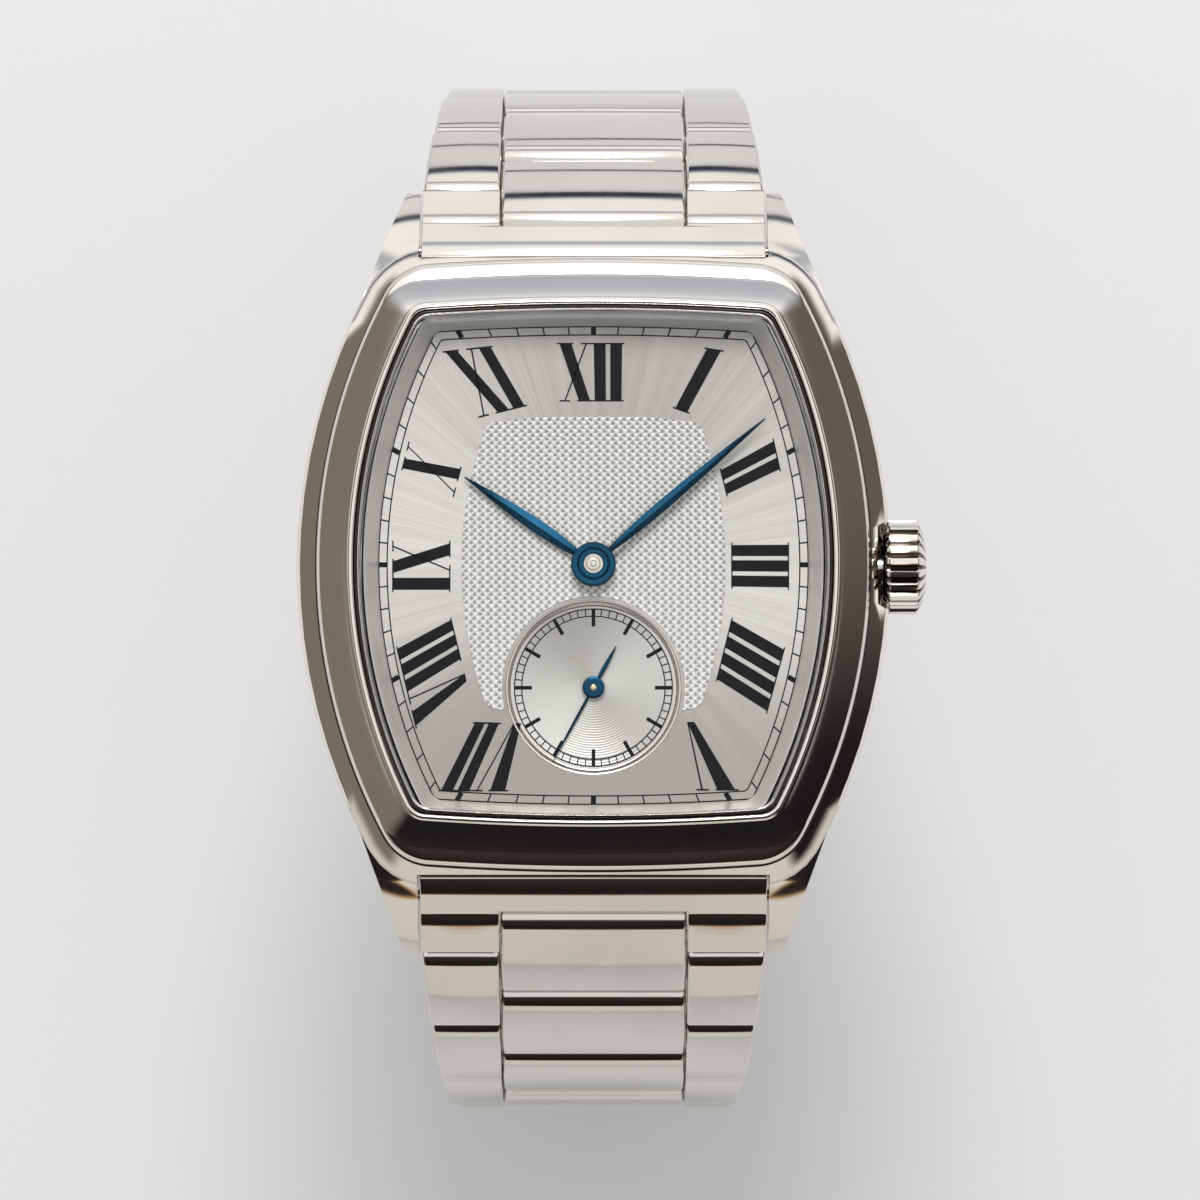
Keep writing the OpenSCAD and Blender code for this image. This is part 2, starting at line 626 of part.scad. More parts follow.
module centre_wheel() {
    color(brass) union() {
        translate([0, 0, 3.28]) toothed_wheel(centre_n, centre_module, heading(centre_at, third_at), 0.2);
        translate([0, 0, train_z + 0.06])
            pinion(centre_pinion_n, barrel_module, heading(centre_at, barrel_at), 1);
        translate([0, 0, train_z + 0.03]) cylinder(h = plate_z - train_z - 0.06, r = 0.5);
        translate([0, 0, train_z - 0.4])
            cylinder(h = minute_z + 0.72 - train_z, r = centre_arbor_r, $fn = 32);
    }
}
module third_wheel() {
    color(brass) translate(third_at) union() {
        translate([0, 0, 2.2]) toothed_wheel(third_n, third_module, heading(third_at, fourth_at), 0.18);
        translate([0, 0, 3.1]) pinion(third_pinion_n, centre_module, heading(third_at, centre_at), 0.5);
        arbor();
    }
}
module fourth_wheel() {
    color(brass) translate(fourth_at) union() {
        translate([0, 0, 2.72]) toothed_wheel(fourth_n, fourth_module, heading(fourth_at, escape_at), 0.18);
        translate([0, 0, 2.05]) pinion(fourth_pinion_n, third_module, heading(fourth_at, third_at), 0.5);
        arbor();
        translate([0, 0, plate_z - 0.1]) cylinder(h = dial_z + 0.3 - plate_z + 0.1, r = 0.2, $fn = 24);
    }
}
escape_teeth = 15;
escape_r = 1.95;
module escape_wheel() {
    part = 360 / escape_teeth;
    color(steel) translate(escape_at) union() {
        translate([0, 0, 3.3]) linear_extrude(0.16) difference() {
            polygon([for (i = [0 : escape_teeth - 1]) for (e = [[1.55, 0], [escape_r, 0.42], [escape_r, 0.55],
                [1.55, 0.62]]) e[0] * [cos((i + e[1]) * part), sin((i + e[1]) * part)]]);
            difference() {
                circle(r = 1.3);
                circle(r = 0.55);
                for (a = [0 : 90 : 270]) rotate(a) translate([0, -0.1]) square([1.4, 0.2]);
            }
        }
        translate([0, 0, 2.55]) pinion(escape_pinion_n, fourth_module, heading(escape_at, fourth_at), 0.5);
        arbor(0.16);
    }
}
module pallet_fork() {
    to_wheel = heading(pallet_at, escape_at);
    color(steel) translate(pallet_at) union() {
        translate([0, 0, 3.3]) linear_extrude(0.16) union() {
            circle(r = 0.35);
            for (s = [-1, 1]) rotate(to_wheel + s * 62) translate([0, -0.14]) square([1.75, 0.28]);
            rotate(heading(pallet_at, balance_at)) translate([0, -0.12]) square([3.05, 0.24]);
            for (s = [-1, 1]) rotate(heading(pallet_at, balance_at)) translate([2.9, s * 0.22 - 0.09])
                square([0.4, 0.18]);
            rotate(heading(pallet_at, balance_at)) translate([2.8, -0.3]) square([0.2, 0.6]);
        }
        arbor(0.16);
    }
}
module balance_wheel() {
    color(brass) translate(balance_at) union() {
        translate([0, 0, 2.35]) linear_extrude(0.4) difference() {
            circle(r = 2.9, $fn = 72);
            circle(r = 2.5, $fn = 72);
        }
        translate([0, 0, 2.45]) linear_extrude(0.16) union() {
            circle(r = 0.5);
            for (a = [0 : 120 : 240]) rotate(a) translate([0, -0.16]) square([2.6, 0.32]);
        }
        translate([0, 0, 3.42]) cylinder(h = 0.1, r = 0.45, $fn = 24);
        arbor(0.16);
    }
}
module hairspring() {
    turns = 7;
    step = 0.2;
    spiral = [for (i = [0 : 24 * turns]) (0.55 + step * i / 24) * [cos(i * 15), sin(i * 15)]];
    outer = [for (i = [0 : 24 * turns]) (0.55 + 0.06 + step * i / 24) * [cos(i * 15), sin(i * 15)]];
    color(blued) translate([balance_at[0], balance_at[1], train_z + 0.12]) linear_extrude(0.12)
        polygon(concat(spiral, reversed(outer)));
}
module cannon_pinion() {
    color(steel) difference() {
        union() {
            translate([0, 0, plate_top_z + 0.05]) linear_extrude(0.28)
                gear_outline_at(cannon_n, heading(centre_at, minute_at));
            translate([0, 0, plate_top_z + 0.05]) cylinder(h = minute_z + 0.22 - plate_top_z - 0.05, r = 0.6);
        }
        translate([0, 0, plate_top_z - past]) cylinder(h = 4, r = centre_arbor_r + pivot_play, $fn = 32);
    }
}
cannon_module = 2 * motion_dist / (cannon_n + minute_n);
hour_module = 2 * motion_dist / (minute_pinion_n + hour_n);
module gear_outline_at(n, facing) {
    rotate(facing) gear_outline(n, cannon_module, 0.6, 0.4);
}
module minute_wheel() {
    color(brass) translate([minute_at[0], minute_at[1], 0]) difference() {
        union() {
            translate([0, 0, plate_top_z + 0.06]) linear_extrude(0.2)
                rotate(heading(minute_at, centre_at) + 180 / minute_n)
                gear_outline(minute_n, cannon_module, 0.6, 0.4);
            translate([0, 0, plate_top_z + 0.06]) linear_extrude(0.62) rotate(heading(minute_at, centre_at))
                gear_outline(minute_pinion_n, hour_module, 0.6, 0.38);
        }
        translate([0, 0, plate_top_z - past]) cylinder(h = 3, r = 0.2 + pivot_play, $fn = 24);
    }
}
module hour_wheel() {
    color(brass) difference() {
        union() {
            translate([0, 0, plate_top_z + 0.45]) linear_extrude(0.2)
                rotate(heading(centre_at, minute_at) + 180 / hour_n)
                gear_outline(hour_n, hour_module, 0.6, 0.4);
            translate([0, 0, plate_top_z + 0.45])
                cylinder(h = hour_z + hand_t - plate_top_z - 0.4, r = 1);
        }
        translate([0, 0, plate_top_z]) cylinder(h = 4, r = 0.6 + 0.04);
    }
}
// The chain runs from hinge 1 in the end link to hinge 9 in the clasp, in the plane across the wrist.
function slope(k) = first_slope + (k - 1) * link_bend;
function hinge(k) = k == 1 ? [chain_y, chain_z] :
    hinge(k - 1) + link_pitch * [cos(slope(k - 1)), -sin(slope(k - 1))];
function half_w(k) = max(clasp_link_w, first_w - link_taper * (k - 1)) / 2;
outer_start = hinge_step;
outer_end = link_pitch + hinge_step + link_lip;
centre_end = link_pitch - link_t / 2 + link_lip / 2;
inner_x = centre_w / 2 + row_gap;
fix_pin_s = link_pitch / 2;
// Moves a piece from its own frame, hinge at the origin and chain along Y, to hinge k
module at_hinge(k, angle) {
    translate([0, hinge(k)[0], hinge(k)[1]]) rotate([-angle, 0, 0]) children();
}
module side_view(half) {
    rotate([90, 0, 90]) translate([0, 0, -half]) linear_extrude(2 * half) children();
}
// Side view of a link: round at the case side, hollowed at the other end for the next link.
// far is the distance from the next hinge to the next round end's middle, turned through bend degrees.
module link_side(start, end, far, bend) {
    r = link_t / 2;
    translate([start + r, 0]) circle(r = r);
    difference() {
        polygon([[start + r, -r], [end, -r], [end, r - 0.12], [end - 0.12, r], [start + r, r]]);
        next_link_hollow(link_pitch, far, bend);
    }
}
module next_link_hollow(at, far, bend) {
    for (a = [0, bend]) translate([at, 0]) rotate(-a) translate([far, 0]) circle(r = link_t / 2 + link_gap);
    if (far > 0) translate([at + far - 1.2, -link_t]) square([1.2, link_t - 0.75]);
}
module cross_pin(s, half, r) {
    translate([-half, s, 0]) rotate([0, 90, 0]) cylinder(h = 2 * half, r = r, $fn = 32);
}
module link(k) {
    color(steel) at_hinge(k, slope(k)) {
        difference() {
            intersection() {
                side_view(first_w) link_side(outer_start, outer_end, outer_start + link_t / 2, link_bend);
                translate([0, 0, -link_t]) linear_extrude(2 * link_t) for (s = [-1, 1])
                    polygon([[s * inner_x, outer_start], [s * half_w(k), outer_start],
                        [s * half_w(k + 1), outer_end], [s * inner_x, outer_end]]);
            }
            cross_pin(link_pitch, first_w, pin_d / 2 + pin_play);
            cross_pin(fix_pin_s, first_w, pin_d / 2 + seat / 2);
        }
        difference() {
            side_view(centre_w / 2) link_side(-link_t / 2, centre_end, 0, 0);
            if (k == link_n) side_view(first_w) clasp_swing();
            cross_pin(0, first_w, pin_d / 2 + seat / 2);
            cross_pin(fix_pin_s, first_w, pin_d / 2 + seat / 2);
        }
        cross_pin(0, (k == 1 ? first_w / 2 : half_w(k)) - 0.15, pin_d / 2);
        cross_pin(fix_pin_s, half_w(k + 1) - 0.05, pin_d / 2);
    }
}
// What the last link loses inside, so that it swings past the clasp's round end
module clasp_swing() {
    difference() {
        translate([0, -link_t]) square([link_pitch, link_t]);
        circle(r = link_pitch - link_t / 2 - link_gap, $fn = 96);
    }
}
module end_link() {
    u = [cos(end_slope), -sin(end_slope)];
    n = [sin(end_slope), cos(end_slope)];
    h = hinge(1);
    r = link_t / 2;
    back = end_face_y + 0.05;
    bar_slope = end_slope + 4;
    bar_n = [sin(bar_slope), cos(bar_slope)];
    bar_r = 2.9;
    step_r = 2;
    low = spring_bar_z - spring_bar_r - 0.3;
    tip_top = h + (hinge_step + link_lip) * u + r * n;
    tip_low = h + (hinge_step + link_lip) * u - r * n;
    // The top falls over the bar along the case, and once more over the two arms beside the notch
    step_y = chain_y + 0.45;
    step_start = [step_y, tip_top[1] + (tip_top[0] - step_y) * tan(end_slope)];
    step = arc(step_start - step_r * n, step_r, 90 - end_slope, 78, 4);
    bar_y = back + 1.4;
    bar_start = [bar_y, step[4][1] + (step[4][0] - bar_y) * tan(bar_slope)];
    bar = arc(bar_start - bar_r * bar_n, bar_r, 90 - bar_slope, 81, 5);
    color(steel) difference() {
        side_view(first_w / 2) polygon(concat([[back, low], [spring_bar_y + 1.1, low], tip_low, tip_top], step, bar,
            [[back, bar[5][1] - 0.2]]));
        at_hinge(1, end_slope) {
            cross_pin(0, inner_x, r + link_gap);
            translate([-inner_x, 0, -2 * link_t]) cube([2 * inner_x, 4 * link_t, 4 * link_t]);
            translate([-inner_x, link_lip / 2 - r, 0]) cube([2 * inner_x, 4 * link_t, 2 * link_t]);
            side_view(first_w) next_link_hollow(0, outer_start + r, first_slope - end_slope);
            cross_pin(0, first_w, pin_d / 2 + pin_play);
        }
        spring_bar(spring_bar_r + 0.04, first_w);
    }
}
module spring_bar(r, half) {
    translate([-half, spring_bar_y, spring_bar_z]) rotate([0, 90, 0]) cylinder(h = 2 * half, r = r, $fn = 32);
}
module spring_bars() {
    color(steel) for_both_ends() {
        spring_bar(spring_bar_r, lug_gap / 2 - 0.3);
        spring_bar(spring_tip_r, lug_gap / 2 + 1);
    }
}
clasp_y = hinge(link_n + 1)[0];
clasp_z = hinge(link_n + 1)[1];
fold_y = clasp_y - fold_in;
blade_step = blade_t + fold_gap;
fold_in_z = clasp_z - blade_step / 2;
cover_top_z = clasp_z - blade_t / 2 - fold_gap - blade_step;
fold_out_z = cover_top_z + 0.08;
knuckle_r = 0.88;
knuckle_half = 3.4;
knuckle_room = knuckle_r + 0.42;
arm_half = centre_w / 2 - 0.2;
module bar_at(y, z, half, r) {
    translate([-half, y, z]) rotate([0, 90, 0]) cylinder(h = 2 * half, r = r, $fn = 32);
}
module blade_hole(y, z) {
    translate([0, y, z - blade_t]) cylinder(h = 2 * blade_t, d = blade_hole_d);
}
module clasp_inner_blade() {
    color(steel) {
        difference() {
            union() {
                bar_at(-clasp_y, clasp_z, arm_half, link_t / 2);
                translate([-blade_w / 2, -clasp_y, clasp_z - blade_t / 2])
                    cube([blade_w, clasp_y + fold_y, blade_t]);
                bar_at(fold_y, fold_in_z, blade_w / 2, knuckle_r);
            }
            translate([-knuckle_half - 0.1, fold_y - knuckle_r - 0.2, clasp_z - 3])
                cube([2 * knuckle_half + 0.2, 6, 6]);
            bar_at(-clasp_y, clasp_z, first_w, pin_d / 2 + seat / 2);
            bar_at(fold_y, fold_in_z, first_w, 0.4 + seat / 2);
            for (i = [-1.5 : 1.5]) blade_hole(i * inner_hole_step, clasp_z);
        }
        bar_at(-clasp_y, clasp_z, half_w(link_n + 1) - 0.15, pin_d / 2);
        bar_at(fold_y, fold_in_z, blade_w / 2 - 0.05, 0.4);
    }
}
module clasp_middle_blade() {
    z = clasp_z - blade_step;
    color(steel) {
        difference() {
            union() {
                translate([-blade_w / 2, -fold_y + knuckle_room, z - blade_t / 2])
                    cube([blade_w, 2 * (fold_y - knuckle_room), blade_t]);
                translate([-knuckle_half, -fold_y, z - blade_t / 2])
                    cube([2 * knuckle_half, 2 * fold_y, blade_t]);
                bar_at(fold_y, fold_in_z, knuckle_half, knuckle_r);
                bar_at(-fold_y, fold_out_z, knuckle_half, knuckle_r - 0.05);
            }
            bar_at(fold_y, fold_in_z, first_w, 0.4 + pin_play);
            bar_at(-fold_y, fold_out_z, first_w, 0.4 + seat / 2);
            for (i = [-1 : 1]) blade_hole(i * middle_hole_step, z);
        }
        bar_at(-fold_y, fold_out_z, cover_w / 2 - 0.1, 0.4);
    }
}
module clasp_cover() {
    wall = 1;
    low = cover_top_z - cover_t;
    rim_z = clasp_z + 0.1;
    fold_end = -fold_y - 1;
    bar_end = fold_y + 1.7;
    color(steel) difference() {
        union() {
            difference() {
                side_view(cover_w / 2) polygon([[fold_end, rim_z], [fold_end, low + 0.6],
                    [fold_end + 0.6, low + 0.12], [fold_end + 1.6, low], [bar_end - 1.6, low],
                    [bar_end - 0.6, low + 0.12], [bar_end, low + 0.6], [bar_end, rim_z]]);
                translate([-cover_w / 2 + wall, fold_end - past, cover_top_z])
                    cube([cover_w - 2 * wall, bar_end - fold_end + 2 * past, 5]);
            }
            side_view(arm_half) polygon([[bar_end - 0.8, low + 0.5], [bar_end, low + 0.6],
                [clasp_y + 0.5, clasp_z - 1.4], [clasp_y, clasp_z], [clasp_y - 1.4, clasp_z + 0.1],
                [bar_end - 0.4, cover_top_z + 0.3], [bar_end - 0.8, cover_top_z]]);
            bar_at(clasp_y, clasp_z, arm_half, link_t / 2);
        }
        translate([-knuckle_half - 0.15, fold_end - past, fold_out_z - knuckle_r - 0.1])
            cube([2 * knuckle_half + 0.3, 1 + past + knuckle_r + 0.1, 3]);
        bar_at(-fold_y, fold_out_z, first_w, 0.4 + pin_play);
        bar_at(clasp_y, clasp_z, first_w, spring_bar_r + seat);
    }
}
module clasp_spring_bar() {
    color(steel) bar_at(clasp_y, clasp_z, arm_half, spring_bar_r);
}

mid_case();
bezel();
crystal();
crystal_gasket();
dial_ring();
case_back();
case_back_gasket();
case_back_screws();
movement_ring();
crown_tube();
crown();
crown_gasket();
winding_stem();
dial();
hour_hand();
minute_hand();
seconds_hand();
main_plate();
barrel_bridge();
train_bridge();
balance_cock();
bridge_screws();
barrel();
centre_wheel();
third_wheel();
fourth_wheel();
escape_wheel();
pallet_fork();
balance_wheel();
hairspring();
cannon_pinion();
minute_wheel();
hour_wheel();
end_link();  // end_link_12
mirror([0, 1, 0]) end_link();  // end_link_6
spring_bars();
for (k = [1 : link_n]) {
    link(k);
    mirror([0, 1, 0]) link(k);
}
clasp_inner_blade();
clasp_middle_blade();
clasp_cover();
clasp_spring_bar();
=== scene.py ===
# Steel tonneau wristwatch with a silvered dial, blued hands and a three-row link bracelet.
# It stands on its clasp, dial up, on a pale table, and is seen almost from straight above.
import json
import math

import bmesh
import bpy
from mathutils import Matrix, Vector


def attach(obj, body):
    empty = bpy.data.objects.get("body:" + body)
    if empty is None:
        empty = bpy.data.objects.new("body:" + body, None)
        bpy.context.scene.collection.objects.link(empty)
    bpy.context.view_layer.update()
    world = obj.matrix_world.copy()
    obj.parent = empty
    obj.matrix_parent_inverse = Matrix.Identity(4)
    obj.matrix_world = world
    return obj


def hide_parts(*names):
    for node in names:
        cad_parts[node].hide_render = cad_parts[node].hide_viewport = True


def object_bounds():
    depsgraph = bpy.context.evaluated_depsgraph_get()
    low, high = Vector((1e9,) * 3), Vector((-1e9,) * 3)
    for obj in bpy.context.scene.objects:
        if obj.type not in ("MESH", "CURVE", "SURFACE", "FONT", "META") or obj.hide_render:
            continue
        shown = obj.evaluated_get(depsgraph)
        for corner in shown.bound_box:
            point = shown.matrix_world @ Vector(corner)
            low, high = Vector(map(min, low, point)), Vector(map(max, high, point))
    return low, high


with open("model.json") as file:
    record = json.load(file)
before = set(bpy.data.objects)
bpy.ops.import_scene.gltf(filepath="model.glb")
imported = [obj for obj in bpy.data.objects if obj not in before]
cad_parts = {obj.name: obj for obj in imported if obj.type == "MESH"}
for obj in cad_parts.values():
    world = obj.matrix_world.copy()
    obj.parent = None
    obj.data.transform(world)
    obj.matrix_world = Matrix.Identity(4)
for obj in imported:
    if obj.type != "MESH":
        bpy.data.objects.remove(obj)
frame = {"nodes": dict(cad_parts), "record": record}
cad_box = [list(corner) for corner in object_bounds()]
mm = 0.001


# The camera stands 400 mm from the dial, a little tilted from straight above, towards 6 o'clock.
# It looks at the point of the dial that lies in the middle of the photograph.
aim = Vector((0.41, -2.25, 7)) * mm
camera_distance = 400 * mm
tilt = math.radians(4.5)
camera_data = bpy.data.cameras.new("camera")
camera = bpy.data.objects.new("camera", camera_data)
bpy.context.scene.collection.objects.link(camera)
camera_data.sensor_width = 36
camera_data.lens = 192
camera_data.clip_start = 0.01
camera.location = aim + camera_distance * Vector((0, -math.sin(tilt), math.cos(tilt)))
camera.rotation_euler = (tilt, 0, 0)
bpy.context.scene.camera = camera
bpy.context.scene.view_settings.view_transform = "Standard"


# The nodes of a material or of the world, written as sums: a wire holds one socket, and adding,
# subtracting or multiplying wires adds the Math nodes for it. node() adds any other kind of node.
class Wire:
    def __init__(self, tree, socket=None):
        self.tree = tree
        self.socket = socket

    def node(self, kind, settings={}, sockets={}, out=0):
        made = self.tree.nodes.new(kind)
        for name, value in settings.items():
            if name == "stops":
                ramp = made.color_ramp.elements
                while len(ramp) < len(value):
                    ramp.new(0.5)
                for stop, (place, colour) in zip(ramp, value):
                    stop.position = place
                    stop.color = (*colour, 1)
            else:
                setattr(made, name, value)
        for name, value in sockets.items():
            if isinstance(value, Wire):
                self.tree.links.new(value.socket, made.inputs[name])
            else:
                made.inputs[name].default_value = value
        return Wire(self.tree, made.outputs[out] if len(made.outputs) else None)

    def maths(self, operation, *others):
        return self.node("ShaderNodeMath", {"operation": operation}, dict(enumerate((self, *others))))

    def __add__(self, other):
        return self.maths("ADD", other)

    def __sub__(self, other):
        return self.maths("SUBTRACT", other)

    def __rsub__(self, other):
        return self * -1 + other

    def __mul__(self, other):
        return self.maths("MULTIPLY", other)

    def __pow__(self, other):
        return self.maths("POWER", other)

    __radd__ = __add__
    __rmul__ = __mul__

    # Goes softly from start to end while the wire's value goes from low to high
    def step(self, low, high, start=0.0, end=1.0):
        return self.node("ShaderNodeMapRange", {"interpolation_type": "SMOOTHSTEP"},
            {"Value": self, "From Min": low, "From Max": high, "To Min": start, "To Max": end})

    # The three parts of a vector, as three wires
    def split(self):
        parts = self.tree.nodes.new("ShaderNodeSeparateXYZ")
        self.tree.links.new(self.socket, parts.inputs[0])
        return [Wire(self.tree, part) for part in parts.outputs]

    # Goes from one colour to another while the wire's value goes from 0 to 1
    def colour(self, low, high):
        return self.node("ShaderNodeMix", {"data_type": "RGBA"}, {0: self, 6: low, 7: high}, 2)

    # The place on the piece, in metres
    def place(self):
        return self.node("ShaderNodeTexCoord", out=3)

    # Clouds over a place, the finer the larger the scale
    def noise(self, scale, detail=2.0):
        return self.node("ShaderNodeTexNoise", {}, {"Vector": self, "Scale": scale, "Detail": detail})

    # The wire's value as hills and hollows of the surface, with their depth in millimetres
    def bump(self, strength, depth):
        return self.node("ShaderNodeBump", {}, {"Strength": strength, "Distance": depth * mm, "Height": self})

    # Ends a material with the surface that has these sockets
    def surface(self, sockets):
        finish = self.node("ShaderNodeBsdfPrincipled", {}, sockets)
        self.node("ShaderNodeOutputMaterial", {}, {"Surface": finish})


# The studio: a white room behind 12 o'clock, a darker wall at either side, and the dark camera stand in
# front, above a low cream wall. The polished steel shows them, while the background stays pale.
# A stop of the two ramps is a height, from 0 straight down over 0.5 at eye level to 1 straight up.
world = bpy.data.worlds.new("studio")
bpy.context.scene.world = world
world.use_nodes = True
world.node_tree.nodes.clear()
room = Wire(world.node_tree)
east, north, up = room.node("ShaderNodeTexCoord").split()
wall_height = up.step(0.1, 0.25) * (0.74 - up).step(0, 0.1)
left_wall = (0 - east).step(0.5, 0.72) * wall_height
right_wall = east.step(0.5, 0.72) * wall_height
height = up * 0.5 + 0.5
white_side = room.node("ShaderNodeValToRGB", {"stops": [
    (0.0, (0.02, 0.03, 0.055)), (0.497, (0.02, 0.03, 0.055)), (0.508, (0.35, 0.4, 0.5)),
    (0.52, (1.2, 1.18, 1.13)), (0.65, (1.2, 1.18, 1.13)), (0.695, (0.5, 0.53, 0.59)),
    (0.735, (0.66, 0.69, 0.74)), (0.8, (1.3, 1.28, 1.24)), (0.9, (1.25, 1.22, 1.17)),
    (0.97, (0.95, 0.94, 0.92))]}, {"Fac": height})
dark_side = room.node("ShaderNodeValToRGB", {"stops": [
    (0.0, (0.7, 0.67, 0.61)), (0.71, (0.80, 0.765, 0.70)), (0.722, (0.55, 0.30, 0.14)),
    (0.735, (0.03, 0.02, 0.017)), (0.8, (0.012, 0.011, 0.012)), (0.93, (0.03, 0.022, 0.02)),
    (0.985, (0.05, 0.035, 0.03))]}, {"Fac": height})
shown = (0 - north).step(0.2, 0.3).colour(white_side, dark_side)
shown = left_wall.colour(shown, (0.23, 0.21, 0.175, 1))
right_colour = north.step(-0.25, 0.2).colour((0.012, 0.01, 0.01, 1), (0.15, 0.13, 0.11, 1))
shown = right_wall.colour(shown, right_colour)
ray = room.node("ShaderNodeLightPath").socket.node
glossy = Wire(world.node_tree, ray.outputs["Is Glossy Ray"])
seen = Wire(world.node_tree, ray.outputs["Is Camera Ray"])
light = glossy.colour((0.62, 0.62, 0.62, 1), shown)
light = seen.colour(light, (0.85, 0.85, 0.84, 1))
shade = room.node("ShaderNodeBackground", {}, {"Color": light, "Strength": 1.0})
room.node("ShaderNodeOutputWorld", {}, {"Surface": shade})


# The table is a smooth pale board under the clasp. One large soft lamp stands behind 12 o'clock,
# so the shadow falls towards the front.
def new_finish(name):
    made = bpy.data.materials.new(name)
    made.use_nodes = True
    made.node_tree.nodes.clear()
    return made, Wire(made.node_tree)


clasp_foot = cad_box[0][2]
bpy.ops.object.select_all(action="DESELECT")
bpy.ops.mesh.primitive_plane_add(size=1.6, location=(0, 0, clasp_foot - 0.05 * mm))
table = bpy.context.object
table.name = "table"
paint, board = new_finish("table_paint")
cloud = board.place().noise(9.0)
board.surface({"Base Color": cloud.colour((0.86, 0.855, 0.845, 1), (0.83, 0.825, 0.815, 1)),
    "Roughness": 0.7})
table.data.materials.append(paint)
lamp_data = bpy.data.lights.new("soft_lamp", "AREA")
lamp_data.shape = "DISK"
lamp_data.size = 0.28
lamp_data.energy = 2.2
lamp = bpy.data.objects.new("soft_lamp", lamp_data)
bpy.context.scene.collection.objects.link(lamp)
lamp.location = (0, 0.4, 0.56)
lamp.rotation_euler = (math.radians(-36), 0, 0)


# The table's dark back edge is a flat strip behind 12 o'clock, painted dark blue. The polished links
# towards 12 o'clock show it as a thin line.
bpy.ops.object.select_all(action="DESELECT")
bpy.ops.mesh.primitive_cube_add(size=1, location=(0, 135 * mm, clasp_foot + 0.3 * mm),
    scale=(900 * mm, 8 * mm, 0.6 * mm))
edge_strip = bpy.context.object
bpy.ops.object.transform_apply(location=True, rotation=True, scale=True)
edge_strip.name = "board_edge"
strip_paint, strip = new_finish("edge_paint")
cloud = strip.place().noise(40.0)
strip.surface({"Base Color": cloud.colour((0.02, 0.03, 0.06, 1), (0.025, 0.035, 0.065, 1)), "Roughness": 0.6})
edge_strip.data.materials.append(strip_paint)


# The case is one block of stainless steel: rounded sides, a shoulder under the bezel, and four lugs
# that slope to the bracelet. It is polished all over, and fine wiping marks show in the light.
def steel(name, tint, gloss, marks=1.0, grain=None):
    made, start = new_finish(name)
    place = start.place()
    wiping = place.noise(140.0, 3.0)
    dust = place.noise(1900.0)
    rough = wiping.step(0.3, 0.75, gloss * 0.75, gloss * 1.4) + dust * 0.03
    height = dust * 0.25 + wiping * 0.4
    if grain:
        lines = start.node("ShaderNodeMapping", {}, {"Vector": place, "Scale": grain}).noise(1.0, 4.0)
        rough = rough + lines.step(0.3, 0.7, 0.0, 0.12)
        height = height + lines * 1.5
    wiped_tint = [part * 0.93 for part in tint]
    shown = wiping.step(0.35, 0.8).colour((*tint, 1), (*wiped_tint, 1))
    start.surface({"Base Color": shown, "Metallic": 1.0, "Roughness": rough,
        "Normal": height.bump(0.08 * marks, 0.02)})
    return made


def choose(*pieces):
    bpy.ops.object.select_all(action="DESELECT")
    for piece in pieces:
        piece.select_set(True)
    bpy.context.view_layer.objects.active = pieces[0]


# Rounds the edges of the chosen piece that are sharper than an angle
def rounded(piece, width, angle):
    rounding = piece.modifiers.new("rounding", "BEVEL")
    rounding.width = width * mm
    rounding.segments = 3
    rounding.angle_limit = math.radians(angle)
    bpy.ops.object.modifier_apply(modifier="rounding")


# Gives a piece its finish and its body, and names the solids that it stands for
def finished(piece, finish, body, *nodes, angle=35):
    choose(piece)
    bpy.ops.object.shade_smooth_by_angle(angle=math.radians(angle))
    piece.data.materials.clear()
    piece.data.materials.append(finish)
    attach(piece, body)
    if nodes:
        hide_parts(*nodes)


def body_of_node(node):
    bodies = frame["record"]["behaviour"]["bodies"]
    return next(body for body, nodes in bodies.items() if node in nodes)


# A node's own form again, with its small edges rounded as a polisher leaves them
def polished_copy(node, width, finish):
    piece = bpy.data.objects.new(node + "_polished", frame["nodes"][node].data.copy())
    bpy.context.scene.collection.objects.link(piece)
    choose(piece)
    bpy.ops.object.mode_set(mode="EDIT")
    bpy.ops.mesh.select_all(action="SELECT")
    bpy.ops.mesh.remove_doubles(threshold=0.001 * mm)
    bpy.ops.mesh.dissolve_limited(angle_limit=math.radians(0.6))
    bpy.ops.object.mode_set(mode="OBJECT")
    rounded(piece, width, 28)
    finished(piece, finish, body_of_node(node), node, angle=32)


case_steel = steel("case_steel", tint=(0.75, 0.725, 0.685), gloss=0.075)
polished_copy("mid_case", 0.12, case_steel)


# The bezel is a separate steel ring pressed on the case: a small rounded step outside, a wide
# polished slope and a narrow flat round the crystal. It is turned up from loops of its outline.
bezel_half_w, bezel_half_h = 17.3, 19.15
bezel_side_r, bezel_end_r, bezel_corner_r, least_corner_r = 36, 150, 3.4, 1.2


# The point at distance r1 from p and r2 from q, on the right of the way from p to q
def between(p, q, r1, r2):
    far = math.dist(p, q)
    along = (far * far + r1 * r1 - r2 * r2) / (2 * far)
    up = math.sqrt(r1 * r1 - along * along)
    u = ((q[0] - p[0]) / far, (q[1] - p[1]) / far)
    return (p[0] + along * u[0] + up * u[1], p[1] + along * u[1] - up * u[0])


